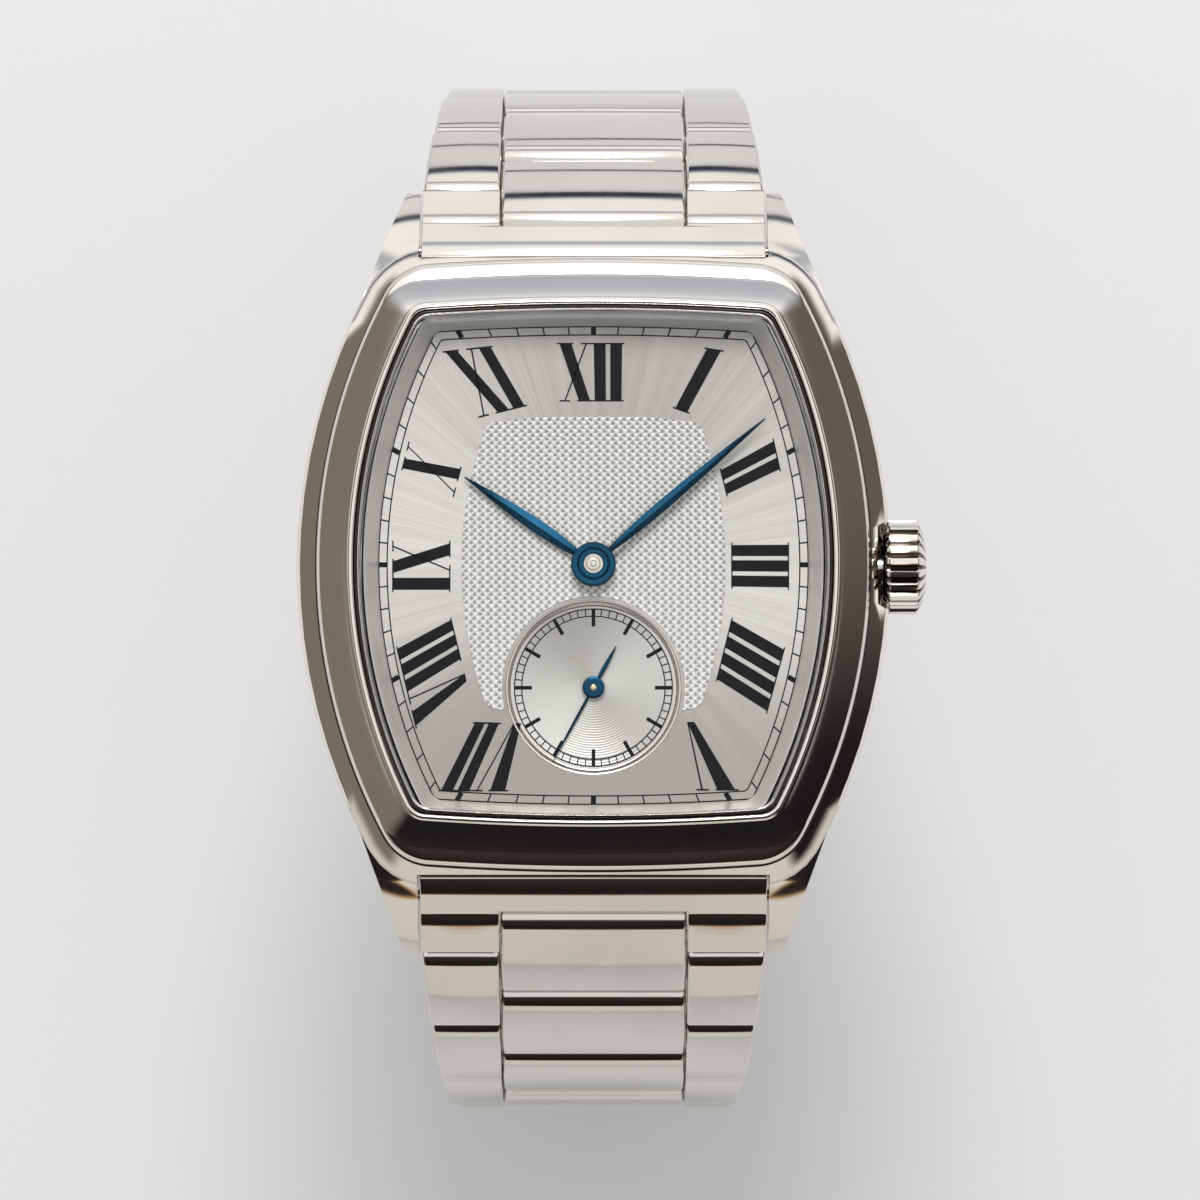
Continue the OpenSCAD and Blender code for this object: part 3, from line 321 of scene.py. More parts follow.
# A barrel from above: flat arcs for the sides and ends, and a small arc at each corner
def barrel_outline(half_w, half_h, side_r, end_r, corner_r, fine=1):
    side, end = (half_w - side_r, 0), (0, half_h - end_r)
    corner = between(end, side, end_r - corner_r, side_r - corner_r)
    side_a = math.atan2(corner[1] - side[1], corner[0] - side[0])
    end_a = math.atan2(corner[1] - end[1], corner[0] - end[0])
    quarter = []
    arcs = ((side, side_r, 0, side_a, 22 * fine), (corner, corner_r, side_a, end_a, 16 * fine),
        (end, end_r, end_a, math.pi / 2, 16 * fine))
    for (x, y), r, first, last, count in arcs:
        for i in range(count):
            a = first + (last - first) * i / count
            quarter.append((x + r * math.cos(a), y + r * math.sin(a)))
    quarter.append((0, half_h))
    left = [(-x, y) for x, y in reversed(quarter[:-1])]
    low = [(-x, -y) for x, y in quarter[1:]]
    right = [(x, -y) for x, y in reversed(quarter[1:-1])]
    return quarter + left + low + right


# The bezel's outline, moved in by a distance, and by some more at the ends
def bezel_outline(inward, more=0.0):
    return barrel_outline(bezel_half_w - inward, bezel_half_h - inward - more, bezel_side_r - inward,
        bezel_end_r - inward, max(bezel_corner_r - inward, least_corner_r))


# A form turned up from closed loops, each a flat outline at its height. The points of a grid are set
# on the loops row by row, and its two side edges are merged.
def skin_of_loops(name, loops, closed=False, cap_first=False, cap_last=False):
    bpy.ops.object.select_all(action="DESELECT")
    count = len(loops[0][0])
    rows = loops + ([loops[0]] if closed else [])
    bpy.ops.mesh.primitive_grid_add(x_subdivisions=count, y_subdivisions=len(rows) - 1, size=1 * mm)
    piece = bpy.context.object
    piece.name = piece.data.name = name
    for i, point in enumerate(piece.data.vertices):
        row, column = divmod(i, count + 1)
        outline, height = rows[row]
        point.co = Vector((*outline[column % count], height)) * mm
    bpy.ops.object.mode_set(mode="EDIT")
    bpy.ops.mesh.select_mode(type="VERT")
    shape = bmesh.from_edit_mesh(piece.data)
    for row, cap in ((0, cap_first), (len(rows) - 1, cap_last)):
        if cap:
            shape.verts.ensure_lookup_table()
            bpy.ops.mesh.select_all(action="DESELECT")
            for point in shape.verts[row * (count + 1):row * (count + 1) + count]:
                point.select = True
            shape.select_flush(True)
            bpy.ops.mesh.edge_face_add()
    bpy.ops.mesh.select_all(action="SELECT")
    bpy.ops.mesh.remove_doubles(threshold=0.0005 * mm)
    bpy.ops.mesh.normals_make_consistent(inside=False)
    bpy.ops.object.mode_set(mode="OBJECT")
    return piece


# The section's points: the distance in from the outline, how much more at the ends, and the height
bezel_foot = 7.02
bezel_steel = steel("bezel_steel", tint=(0.79, 0.765, 0.725), gloss=0.05)
outer_step = [(0.3, 0, 0), (0.06, 0, 0.08), (0.0, 0, 0.25), (0.0, 0, 0.7), (0.01, 0.01, 0.85),
    (0.03, 0.05, 0.98), (0.06, 0.11, 1.08), (0.09, 0.22, 1.16), (0.12, 0.4, 1.23), (0.15, 0.6, 1.28),
    (0.18, 0.76, 1.315), (0.2, 0.83, 1.335), (0.23, 0.85, 1.36), (0.28, 0.848, 1.39)]
wide_slope = [(0.5, 0.83, 1.505), (0.9, 0.8, 1.71), (1.3, 0.76, 1.91), (1.6, 0.735, 2.05),
    (1.8, 0.715, 2.14), (1.92, 0.705, 2.19)]
inner_flat = [(1.97, 0.7, 2.22), (2.02, 0.7, 2.27), (2.08, 0.7, 2.31), (2.15, 0.7, 2.335),
    (2.22, 0.7, 2.345), (2.31, 0.7, 2.29), (2.36, 0.7, 2.19), (2.4, 0.7, 2.0)]
under_side = [(2.4, 0.7, 0.5), (1.4, 0.7, 0.49), (1.4, 0.7, 0.01)]
ring = skin_of_loops("bezel_ring", [(bezel_outline(inward, more), bezel_foot + z)
    for inward, more, z in outer_step + wide_slope + inner_flat + under_side], closed=True)
finished(ring, bezel_steel, "case", "bezel", angle=50)


# Between the bezel and the case's shoulder runs a narrow seam. Its shade is painted as a thin near-black ring
# of its own under the bezel, whose face stands just outside it.
seam = [(-0.12, 6.86), (0.1, 6.86), (0.1, 7.02), (-0.1, 7.005), (-0.12, 6.97)]
seam_shade_ring = skin_of_loops("bezel_seam_shade", [(bezel_outline(inward), z) for inward, z in seam], closed=True)
# Painted shade: the ring's near-black steel stands for the shadow in the seam.
seam_painted_shade = steel("seam_painted_shade", tint=(0.03, 0.026, 0.024), gloss=0.45)
finished(seam_shade_ring, seam_painted_shade, "case", angle=50)


# The crystal is a slightly domed mineral glass, pressed into the bezel in a thin gasket. Its edge is
# ground to a small bevel, and it is a little shorter than the bezel's outline moved in all round.
glass, pane = new_finish("crystal_glass")
smudge = pane.place().noise(60.0)
mirror = pane.node("ShaderNodeBsdfPrincipled", {}, {
    "Base Color": smudge.colour((0.70, 0.77, 0.95, 1), (0.76, 0.83, 1, 1)),
    "Metallic": 1.0, "Roughness": smudge.step(0.4, 0.8, 0.01, 0.03)})
clear = pane.node("ShaderNodeBsdfTransparent", {}, {"Color": (0.985, 0.99, 0.985, 1)})
shine = pane.node("ShaderNodeFresnel", {}, {"IOR": 1.22})
through = pane.node("ShaderNodeMixShader", {}, {0: shine, 1: clear, 2: mirror})
pane.node("ShaderNodeOutputMaterial", {}, {"Surface": through})
pane_foot, opening_more = 7, 0.7
dome = [(2.79, 1.42), (2.79, 2.35), (2.86, 2.46), (3.0, 2.55), (3.3, 2.6), (4.0, 2.65), (5.0, 2.69),
    (6.3, 2.73), (8.0, 2.77), (9.6, 2.79), (11.0, 2.8)]
pane_piece = skin_of_loops("crystal_pane", [(bezel_outline(inward, opening_more), pane_foot + z)
    for inward, z in dome], cap_last=True)
finished(pane_piece, glass, "case", "crystal", angle=40)


# The sloping inner ring hides the glass's foot and runs down to the dial. It is satin metal with a
# silvered coat, a little yellow from the light inside the glass.
ring_steel = steel("ring_steel", tint=(0.88, 0.84, 0.77), gloss=0.4, marks=2.0)
gasket_silver = steel("gasket_silver", tint=(0.86, 0.85, 0.82), gloss=0.22)
ring_steel.node_tree.nodes["Principled BSDF"].inputs["Metallic"].default_value = 0.4
slope = [(2.95, 0.7, 6.55), (3.8, 0.25, 6.52), (3.78, 0.25, 6.6), (3.62, 0.27, 6.9), (3.42, 0.3, 7.3),
    (3.22, 0.33, 7.8), (3.02, 0.35, 8.28), (2.97, 0.35, 8.3), (2.95, 0.35, 8.28), (2.95, 0.36, 7.2),
    (2.95, 0.7, 6.9)]
inner_ring = skin_of_loops("sloping_ring", [(bezel_outline(inward, more), z) for inward, more, z in slope],
    closed=True)
finished(inner_ring, ring_steel, "case", "dial_ring", angle=60)


# The gasket round the crystal shows as a narrow rim of a silver grey, with a dark lip on its outside
# where it is pressed against the bezel.
rim = [(2.6, 8.36), (2.75, 8.36), (2.75, 9.3), (2.72, 9.37), (2.67, 9.4), (2.62, 9.37), (2.6, 9.3)]
lip = [(2.42, 8.36), (2.58, 8.36), (2.58, 9.2), (2.5, 9.24), (2.42, 9.2)]
gasket = skin_of_loops("gasket_rim", [(bezel_outline(inward, opening_more), z) for inward, z in rim],
    closed=True)
finished(gasket, gasket_silver, "case", "crystal_gasket", angle=60)
dark_lip = skin_of_loops("gasket_lip", [(bezel_outline(inward, opening_more), z) for inward, z in lip],
    closed=True)
lip_dark = steel("lip_dark", tint=(0.035, 0.03, 0.026), gloss=0.4)
finished(dark_lip, lip_dark, "case", "crystal_gasket", angle=60)


# The dial is a brass plate, silvered and brushed in fine rays from its centre. Its colour carries a painted
# sheen, lighter in a broad bow tie, and painted shade that darkens it towards 6 o'clock. It is bored for the
# posts of the hands and for the small seconds.
silver, face = new_finish("silvered_rays")
x, y, _ = face.place().split()
radius = (x * x + y * y) ** 0.5 + 0.0001
turn = y.maths("ARCTAN2", x)
spoke = face.node("ShaderNodeCombineXYZ", {}, {0: turn * 90, 1: radius * 60})
rays = spoke.noise(1.0, 3.0)
broad = spoke.noise(0.16, 1.0)
# Painted sheen: the silver's colour is lighter in a broad bow tie across the dial, as a highlight.
painted_sheen = (turn * 2 + 0.3).maths("COSINE") * 0.5 + 0.5
# Painted shade: the colour darkens towards 6 o'clock.
low = (0 - y).step(0.003, 0.013)
tone_and_painted_light = (painted_sheen * 0.5 + broad * 0.35 + rays * 0.25 - low * 0.3).step(0.15, 1.1)
face.surface({"Base Color": tone_and_painted_light.colour((0.41, 0.395, 0.36, 1), (0.78, 0.765, 0.72, 1)), "Metallic": 0.55,
    "Roughness": rays.step(0.3, 0.7, 0.3, 0.42), "Normal": rays.bump(0.25, 0.02)})
dial_top, dial_thick = 6.5, 0.38
seconds_at = (0, -7.7)
plate_outline = bezel_outline(3.1, 0.62)
plate = skin_of_loops("dial_plate", [(plate_outline, z) for z in (dial_top - dial_thick, dial_top)],
    cap_first=True, cap_last=True)


def circle_points(r, centre=(0, 0), count=128):
    return [(centre[0] + r * math.cos(math.tau * i / count), centre[1] + r * math.sin(math.tau * i / count))
        for i in range(count)]


# A form turned on a lathe from its section, radius and height
def turned(name, profile, centre=(0, 0), count=128, cap_first=True, cap_last=True, closed=False):
    loops = [(circle_points(r, centre, count), z) for r, z in profile]
    return skin_of_loops(name, loops, closed=closed, cap_first=cap_first, cap_last=cap_last)


# Takes a tool's form out of a piece, as a cutter would
def cut(piece, tool):
    choose(piece)
    cutting = piece.modifiers.new("cutting", "BOOLEAN")
    cutting.operation = "DIFFERENCE"
    cutting.solver = "EXACT"
    cutting.object = tool
    bpy.ops.object.modifier_apply(modifier="cutting")
    bpy.data.objects.remove(tool)


def bore(piece, r, centre=(0, 0)):
    cut(piece, turned("bore", [(r, dial_top - 1.5), (r, dial_top + 1.5)], centre))


post_bore = 1.15
bore(plate, 5.5, seconds_at)
bore(plate, post_bore)
finished(plate, silver, "case", "dial", angle=30)


# The dial's centre is a low raised panel, engraved all over in a basket weave of small beads, with a dark
# stepped border. Painted shade darkens the grooves between the beads. It is part of the dial and ends in a
# round edge at the small seconds.
weave, cloth = new_finish("basket_weave")
bead_wide, bead_high = 0.52 * mm, 0.5 * mm
place = cloth.place()
wander = place.noise(1500.0, 1.0)
x, y, _ = place.split()
row = y * (math.tau / bead_high) + (wander - 0.5) * 1.2
column = x * (math.tau / bead_wide) + (wander - 0.5) * 1.6
beads = row.maths("SINE") * (column + row.maths("SINE") * 0.5).maths("SINE") * 0.5 + 0.5
# Painted shade: the grooves between the beads are coloured darker.
groove_painted_shade = beads.step(0.18, 0.5)
height = beads.step(0.15, 0.85) + wander * 0.2
cloth.surface({"Base Color": groove_painted_shade.colour((0.40, 0.375, 0.34, 1), (0.96, 0.94, 0.90, 1)), "Metallic": 0.08,
    "Roughness": groove_painted_shade.step(0, 1, 0.5, 0.28), "Normal": height.bump(0.8, 0.08)})
panel_thick, border_wide, border_drop = 0.07, 0.1, 0.03
panel_outline = barrel_outline(8.25, 9.35, 26, 60, 0.9)
panel = skin_of_loops("weave_panel", [(panel_outline, z) for z in (dial_top, dial_top + panel_thick)],
    cap_first=True, cap_last=True)
bore(panel, 5.72, seconds_at)
bore(panel, post_bore)
bpy.ops.object.mode_set(mode="EDIT")
bpy.ops.mesh.select_all(action="DESELECT")
shape = bmesh.from_edit_mesh(panel.data)
for side in shape.faces:
    side.select = side.normal.z > 0.9
bpy.ops.mesh.inset(thickness=border_wide * mm)
bpy.ops.transform.translate(value=(0, 0, -border_drop * mm))
bpy.ops.object.mode_set(mode="OBJECT")
finished(panel, weave, "case", angle=30)
panel.data.materials.append(silver)
panel.data.materials.append(steel("panel_border", tint=(0.42, 0.37, 0.32), gloss=0.3))
for side in panel.data.polygons:
    if side.normal.z < 0.9 or side.center.z > (dial_top + panel_thick - 0.01) * mm:
        side.material_index = 2


# The small seconds dial is turned in fine rings and sunk a little, with a bright sloping edge. Its colour
# carries a painted sheen, lighter in a bow tie across it. It is a disc of its own in the dial's bore.
sunk, disc = new_finish("turned_rings")
ring_pitch = 0.16 * mm
x, y, _ = disc.place().split()
y = y - seconds_at[1] * mm
radius = (x * x + y * y) ** 0.5
turn = y.maths("ARCTAN2", x)
lines = (radius * (math.tau / ring_pitch)).maths("SINE")
# Painted sheen: the colour is lighter in a bow tie across the small dial, as a highlight.
painted_sheen = (turn * 2 - 0.9).maths("COSINE") * 0.5 + 0.5
tone_and_painted_light = painted_sheen * 0.8 + lines * 0.06 + 0.1
disc.surface({"Base Color": tone_and_painted_light.colour((0.47, 0.455, 0.42, 1), (0.70, 0.69, 0.65, 1)), "Metallic": 0.5,
    "Roughness": painted_sheen.step(0, 1, 0.3, 0.38), "Normal": lines.bump(0.3, 0.01)})
edge = [(0.45, 6.15), (5.49, 6.15), (5.49, 6.5), (5.46, 6.53), (5.4, 6.53), (5.34, 6.5), (5.17, 6.32),
    (5.1, 6.3), (0.45, 6.3)]
small_dial = turned("small_seconds_dial", edge, seconds_at, closed=True, cap_first=False, cap_last=False)
finished(small_dial, sunk, "case", angle=28)
small_dial.data.materials.append(steel("recess_edge", tint=(0.74, 0.70, 0.64), gloss=0.2))
for side in small_dial.data.polygons:
    away = math.dist(side.center[:2], (seconds_at[0] * mm, seconds_at[1] * mm)) / mm
    if away > 5.08:
        side.material_index = 1


# The hour numbers and the tracks are printed in thick black enamel. Each number's four corners are
# given, foot left, foot right, head left and head right, because the numbers lean into the corners.
ink, drop = new_finish("black_enamel")
speck = drop.place().noise(5000.0)
drop.surface({"Base Color": speck.colour((0.003, 0.003, 0.0035, 1), (0.008, 0.0075, 0.0075, 1)),
    "Roughness": speck.step(0.3, 0.7, 0.25, 0.4), "Specular IOR Level": 0.12,
    "Normal": speck.bump(0.3, 0.01)})
numbers = [
    ("I", (4.95, 9.87), (6.0, 9.5), (6.98, 13.7), (8.2, 13.5)),
    ("II", (7.9, 6.05), (8.35, 4.28), (11.3, 7.95), (11.75, 5.9)),
    ("III", (8.62, 1.38), (8.62, -1.5), (12.25, 1.4), (12.25, -1.56)),
    ("IIII", (8.65, -3.3), (7.65, -7.3), (12.0, -5.2), (10.85, -9.35)),
    ("V", (6.95, -9.85), (5.1, -9.85), (9.08, -14.15), (6.4, -14.15)),
    ("VII", (-3.85, -9.95), (-7.5, -9.85), (-5.35, -14.2), (-9.7, -14.2)),
    ("VIII", (-7.75, -8.0), (-8.9, -3.3), (-11.1, -10.3), (-12.35, -5.15)),
    ("IX", (-8.95, -1.72), (-8.95, 1.52), (-12.6, -1.72), (-12.6, 1.5)),
    ("X", (-8.75, 4.25), (-8.25, 6.15), (-12.05, 5.95), (-11.6, 7.75)),
    ("XI", (-7.15, 9.25), (-4.15, 10.0), (-9.5, 13.45), (-6.35, 13.8)),
    ("XII", (-2.1, 10.28), (1.9, 10.28), (-2.3, 13.98), (1.95, 13.98))]
thick, thin, room_between, serif, serif_high = 0.66, 0.09, 0.25, 0.13, 0.024
print_z, print_thick = dial_top + 0.004, 0.012


# A flat outline of points, drawn out by a step into a solid form
def drawn_out(points, step):
    bpy.ops.object.select_all(action="DESELECT")
    bpy.ops.mesh.primitive_circle_add(vertices=len(points), radius=1 * mm, fill_type="NGON")
    form = bpy.context.object
    for corner, point in zip(form.data.vertices, points):
        corner.co = Vector(point) * mm
    bpy.ops.object.mode_set(mode="EDIT")
    bpy.ops.mesh.select_all(action="SELECT")
    bpy.ops.mesh.extrude_region_move(TRANSFORM_OT_translate={"value": [distance * mm for distance in step]})
    bpy.ops.mesh.select_all(action="SELECT")
    bpy.ops.mesh.normals_make_consistent(inside=False)
    bpy.ops.object.mode_set(mode="OBJECT")
    return form


def print_shape(corners, z):
    return drawn_out([(x, y, z) for x, y in corners], (0, 0, print_thick))


def joined(name, shapes, finish, body, *nodes, angle=30):
    choose(*shapes)
    bpy.ops.object.join()
    shapes[0].name = shapes[0].data.name = name
    finished(shapes[0], finish, body, *nodes, angle=angle)


# One letter's width, its strokes and its serifs. A stroke is its foot left, foot right, head left and
# head right, with the height from 0 to 1. A serif runs from one place across to another, and says
# whether it is at the head.
def letter_strokes(letter):
    if letter == "I":
        strokes = [((0, 0), (thick, 0), (0, 1), (thick, 1))]
        return thick, strokes, [(-serif, thick + serif, True), (-serif, thick + serif, False)]
    if letter == "V":
        width = 1.75
        strokes = [((0.57, 0), (1.05, 0), (0.02, 1), (0.86, 1)),
            ((0.98, 0), (0.98 + thin, 0), (width - thin - 0.12, 1), (width - 0.12, 1))]
        return width, strokes, [(-serif, 0.95, True), (width - thin - 0.4, width + 0.1, True)]
    width = 1.65
    strokes = [((width - thick, 0), (width, 0), (0, 1), (thick, 1)),
        ((0.1, 0), (0.1 + thin, 0), (width - 0.1 - thin, 1), (width - 0.1, 1))]
    serifs = [(-serif, thick + serif, True), (width - 0.45, width + 0.15, True),
        (width - thick - serif, width + serif, False), (-0.15, 0.45, False)]
    return width, strokes, serifs


prints = []
for word, foot_left, foot_right, head_left, head_right in numbers:
    cells = [letter_strokes(letter) for letter in word]
    total = sum(cell[0] for cell in cells) + room_between * (len(word) - 1) + 2 * serif

    def on_dial(across, up):
        share = across / total
        foot = [a + (b - a) * share for a, b in zip(foot_left, foot_right)]
        head = [a + (b - a) * share for a, b in zip(head_left, head_right)]
        return tuple(a + (b - a) * up for a, b in zip(foot, head))

    start = serif
    for width, strokes, serifs in cells:
        for low_left, low_right, high_left, high_right in strokes:
            prints.append(print_shape([on_dial(start + across, up) for across, up in
                (low_left, low_right, high_right, high_left)], print_z))
        for first, last, at_head in serifs:
            low, high = (1 - serif_high, 1) if at_head else (0, serif_high)
            prints.append(print_shape([on_dial(start + first, low), on_dial(start + last, low),
                on_dial(start + last, high), on_dial(start + first, high)], print_z + 0.002))
        start += width + room_between
joined("hour_numbers", prints, ink, "case")


# The minute track follows the dial's outline: two fine lines, a tick for each minute between them
# and a broad one for each five. The small seconds has the same, round. The ticks stand a hair above.
track_half_w, track_half_h, track_wide, line_wide = 13.48, 15.04, 0.52, 0.08
small_z = 6.304


def band(outline, wide, height):
    bpy.ops.object.select_all(action="DESELECT")
    bpy.ops.mesh.primitive_circle_add(vertices=len(outline), radius=1 * mm, fill_type="NGON")
    line = bpy.context.object
    for point, (x, y) in zip(line.data.vertices, outline):
        point.co = Vector((x, y, height)) * mm
    bpy.ops.object.mode_set(mode="EDIT")
    bpy.ops.mesh.select_all(action="SELECT")
    bpy.ops.mesh.inset(thickness=wide * mm)
    bpy.ops.mesh.delete(type="FACE")
    bpy.ops.mesh.select_all(action="SELECT")
    bpy.ops.mesh.extrude_region_move(TRANSFORM_OT_translate={"value": (0, 0, 0.01 * mm)})
    bpy.ops.mesh.select_all(action="SELECT")
    bpy.ops.mesh.normals_make_consistent(inside=False)
    bpy.ops.object.mode_set(mode="OBJECT")
    return line


def track_outline(inward):
    return barrel_outline(track_half_w - inward, track_half_h - inward, 32.2 - inward, 146 - inward,
        0.5 - inward * 0.2, fine=2)


# The point of an outline that lies from the centre at an angle, clockwise from 12 o'clock
def on_outline(outline, a):
    way = (math.sin(a), math.cos(a))
    for p, q in zip(outline, outline[1:] + outline[:1]):
        side_p = p[0] * way[1] - p[1] * way[0]
        side_q = q[0] * way[1] - q[1] * way[0]
        ahead = p[0] * way[0] + p[1] * way[1]
        if side_p * side_q <= 0 and ahead > 0 and side_p != side_q:
            share = side_p / (side_p - side_q)
            return tuple(u + (v - u) * share for u, v in zip(p, q))


def tick(inner, outer, wide, z):
    far = math.dist(inner, outer)
    x, y = (outer[1] - inner[1]) / far * wide / 2, -(outer[0] - inner[0]) / far * wide / 2
    return print_shape([(inner[0] - x, inner[1] - y), (inner[0] + x, inner[1] + y),
        (outer[0] + x, outer[1] + y), (outer[0] - x, outer[1] - y)], z)


tracks = [band(track_outline(0), line_wide, print_z), band(track_outline(track_wide), line_wide, print_z)]
for minute in range(60):
    a = math.tau * minute / 60
    tracks.append(tick(on_outline(track_outline(track_wide), a), on_outline(track_outline(0.02), a),
        0.32 if minute % 5 == 0 else 0.09, print_z + 0.001))
joined("minute_track", tracks, ink, "case")
seconds_marks = [band(circle_points(r, seconds_at), 0.075, small_z) for r in (4.97, 4.52)]
for second in range(60):
    a = math.tau * second / 60
    reach, wide = (3.85, 0.23) if second % 5 == 0 else (4.48, 0.07)
    inner, outer = [(r * math.sin(a), seconds_at[1] + r * math.cos(a)) for r in (reach, 4.95)]
    seconds_marks.append(tick(inner, outer, wide, small_z + 0.001))
joined("seconds_track", seconds_marks, ink, "case")


# The hands are leaf-shaped, filed to a ridge along the middle and heat blued. The hour and minute
# hands sit on one hub of two stacked discs round a polished pin, the seconds hand on a small boss.
blued, heat = new_finish("blued_steel")
place = heat.place()
cloud = place.noise(300.0, 3.0)
grain = place.noise(4000.0)
heat.surface({"Base Color": cloud.step(0.3, 0.7).colour((0.002, 0.05, 0.105, 1), (0.003, 0.076, 0.155, 1)),
    "Metallic": 0.8, "Roughness": grain.step(0.2, 0.8, 0.24, 0.36), "Normal": grain.bump(0.04, 0.005)})
hour_level, minute_level, small_level = 6.92, 7.34, 6.55
hour_angle, minute_angle, seconds_angle = 304.15, 49.7, 208.8
blade_thick, blade_rows = 0.05, 26


# One blade of a hand along its angle: a row of cross-lines of three points, the middle one on the ridge
def blade(start, end, half_w, tip_w, angle, level, ridge=0.15, centre=(0, 0)):
    bpy.ops.object.select_all(action="DESELECT")
    bpy.ops.mesh.primitive_grid_add(x_subdivisions=2, y_subdivisions=blade_rows, size=1 * mm)
    leaf = bpy.context.object
    a = math.radians(angle)
    for i, point in enumerate(leaf.data.vertices):
        row, column = divmod(i, 3)
        share = row / blade_rows
        wide = half_w * math.sin(math.pi * share ** 0.7) ** 0.95 if 0 < share < 1 else 0
        wide += tip_w * (1 - share * 0.5)
        across, along = (column - 1) * wide, start + (end - start) * share
        point.co = Vector((centre[0] + across * math.cos(a) + along * math.sin(a),
            centre[1] - across * math.sin(a) + along * math.cos(a),
            level + (ridge if column == 1 else blade_thick))) * mm
    bpy.ops.object.mode_set(mode="EDIT")
    bpy.ops.mesh.select_all(action="SELECT")
    bpy.ops.mesh.extrude_region_move(TRANSFORM_OT_translate={"value": (0, 0, -blade_thick * mm)})
    bpy.ops.mesh.select_all(action="SELECT")
    bpy.ops.mesh.normals_make_consistent(inside=False)
    bpy.ops.object.mode_set(mode="OBJECT")
    return leaf


# A hub is turned from its section, which starts and ends at its hole
def hub(profile, level, centre=(0, 0), count=64):
    return turned("hub", [(r, level + z) for r, z in profile], centre, count, closed=True, cap_first=False,
        cap_last=False)


hour_hub = hub([(1.02, 0), (1.35, 0), (1.4, 0.04), (1.4, 0.12), (1.35, 0.16), (1.02, 0.16)], hour_level)
hour_blade = blade(0.9, 9.75, 0.37, 0.08, hour_angle, hour_level)
joined("hour_leaf", [hour_blade, hour_hub], blued, "hour_group", "hour_hand", angle=14)
minute_hub = hub([(0.62, 0), (1.3, 0), (1.34, 0.04), (1.34, 0.2), (1.3, 0.24), (1.02, 0.24), (0.98, 0.2),
    (0.94, 0.24), (0.92, 0.34), (0.88, 0.37), (0.66, 0.37), (0.62, 0.33)], minute_level)
minute_blade = blade(0.9, 14.1, 0.29, 0.08, minute_angle, minute_level)
joined("minute_leaf", [minute_blade, minute_hub], blued, "minute_group", "minute_hand", angle=14)
seconds_hub = hub([(0.21, 0), (0.66, 0), (0.7, 0.04), (0.7, 0.14), (0.66, 0.2), (0.55, 0.24), (0.21, 0.24)],
    small_level, seconds_at, 48)
seconds_blade = blade(0.4, 5.05, 0.03, 0.07, seconds_angle, small_level, 0.1, seconds_at)
tail_blade = blade(0.5, 2.95, 0.09, 0.06, seconds_angle - 180, small_level, 0.1, seconds_at)
joined("seconds_leaf", [seconds_blade, tail_blade, seconds_hub], blued, "seconds_group", "seconds_hand",
    angle=14)


# The posts that carry the hands end in small domed pins in the middle of the hubs. The centre one is
# polished steel, and the one of the small seconds is brass.
pin_steel = steel("pin_steel", tint=(0.86, 0.84, 0.80), gloss=0.12)
pin = turned("centre_pin", [(0.36, 7.3), (0.36, 7.66), (0.3, 7.67), (0.22, 7.68), (0.21, 7.76), (0.15, 7.82),
    (0.06, 7.83)], count=32)
finished(pin, pin_steel, "centre_wheel_body")
small_pin = turned("seconds_pin", [(0.19, 6.4), (0.19, 6.8), (0.15, 6.85), (0.06, 6.87)], seconds_at, 24)
pin_brass = steel("pin_brass", tint=(0.84, 0.72, 0.50), gloss=0.14)
finished(small_pin, pin_brass, "seconds_group")


# The crown is a fluted steel knob on the winding stem, with a domed end that stays bare and a narrow neck
# against the case. Its flutes are ground round. Painted shade darkens the neck and the insides of the flutes.
flutes, flute_share, across_flute = 22, 0.52, 10
crown_at = (18.1, 0, 4.45)
neck_end = 18.4
crown_steel = steel("crown_steel", tint=(0.86, 0.84, 0.80), gloss=0.08)
polish = crown_steel.node_tree.nodes["Principled BSDF"]
bright = Wire(crown_steel.node_tree, polish.inputs["Base Color"].links[0].from_socket)
# Painted shade: a dark brown for the insides of the flutes and for the neck.
dark = (0.10, 0.075, 0.06, 1)
x, y, z = bright.place().split()
turn = y.maths("ARCTAN2", crown_at[2] * mm - z)
flute_painted_shade = (turn * flutes - flute_share / 2 * math.tau).maths("COSINE").step(0.0, 0.75)
neck_painted_shade = (neck_end * mm - x).step(0, 0.02 * mm)
shown = neck_painted_shade.colour(flute_painted_shade.colour(bright, dark), dark)
crown_steel.node_tree.links.new(shown.socket, polish.inputs["Base Color"])


def fluted(r, depth):
    points = []
    for i in range(flutes * across_flute):
        phase = (i % across_flute) / across_flute
        dip = math.sin(math.pi * phase / flute_share) ** 0.6 if phase < flute_share else 0
        a = math.tau * i / (flutes * across_flute)
        points.append(((r - dip * depth) * math.cos(a), (r - dip * depth) * math.sin(a)))
    return points


# The knob's section: radius, depth of the flutes and height
neck = [(1.5, 0, 0.02), (2.0, 0, 0.04), (2.4, 0.02, 0.1), (2.62, 0.1, 0.24), (2.84, 0.26, 0.38),
    (2.93, 0.3, 0.44), (2.95, 0.31, 0.5)]
head = [(2.95, 0.31, 2.14), (2.92, 0.3, 2.22), (2.84, 0.22, 2.3), (2.7, 0.06, 2.36), (2.56, 0, 2.42),
    (2.3, 0, 2.55), (1.8, 0, 2.7), (1.2, 0, 2.8), (0.6, 0, 2.84)]
knob = skin_of_loops("crown_knob", [(fluted(r, depth), z) for r, depth, z in neck + head], cap_first=True,
    cap_last=True)
knob.data.transform(Matrix.Rotation(math.radians(90), 4, "Y"))
knob.data.transform(Matrix.Translation(Vector(crown_at) * mm))
finished(knob, crown_steel, "crown_stem", "crown", angle=40)


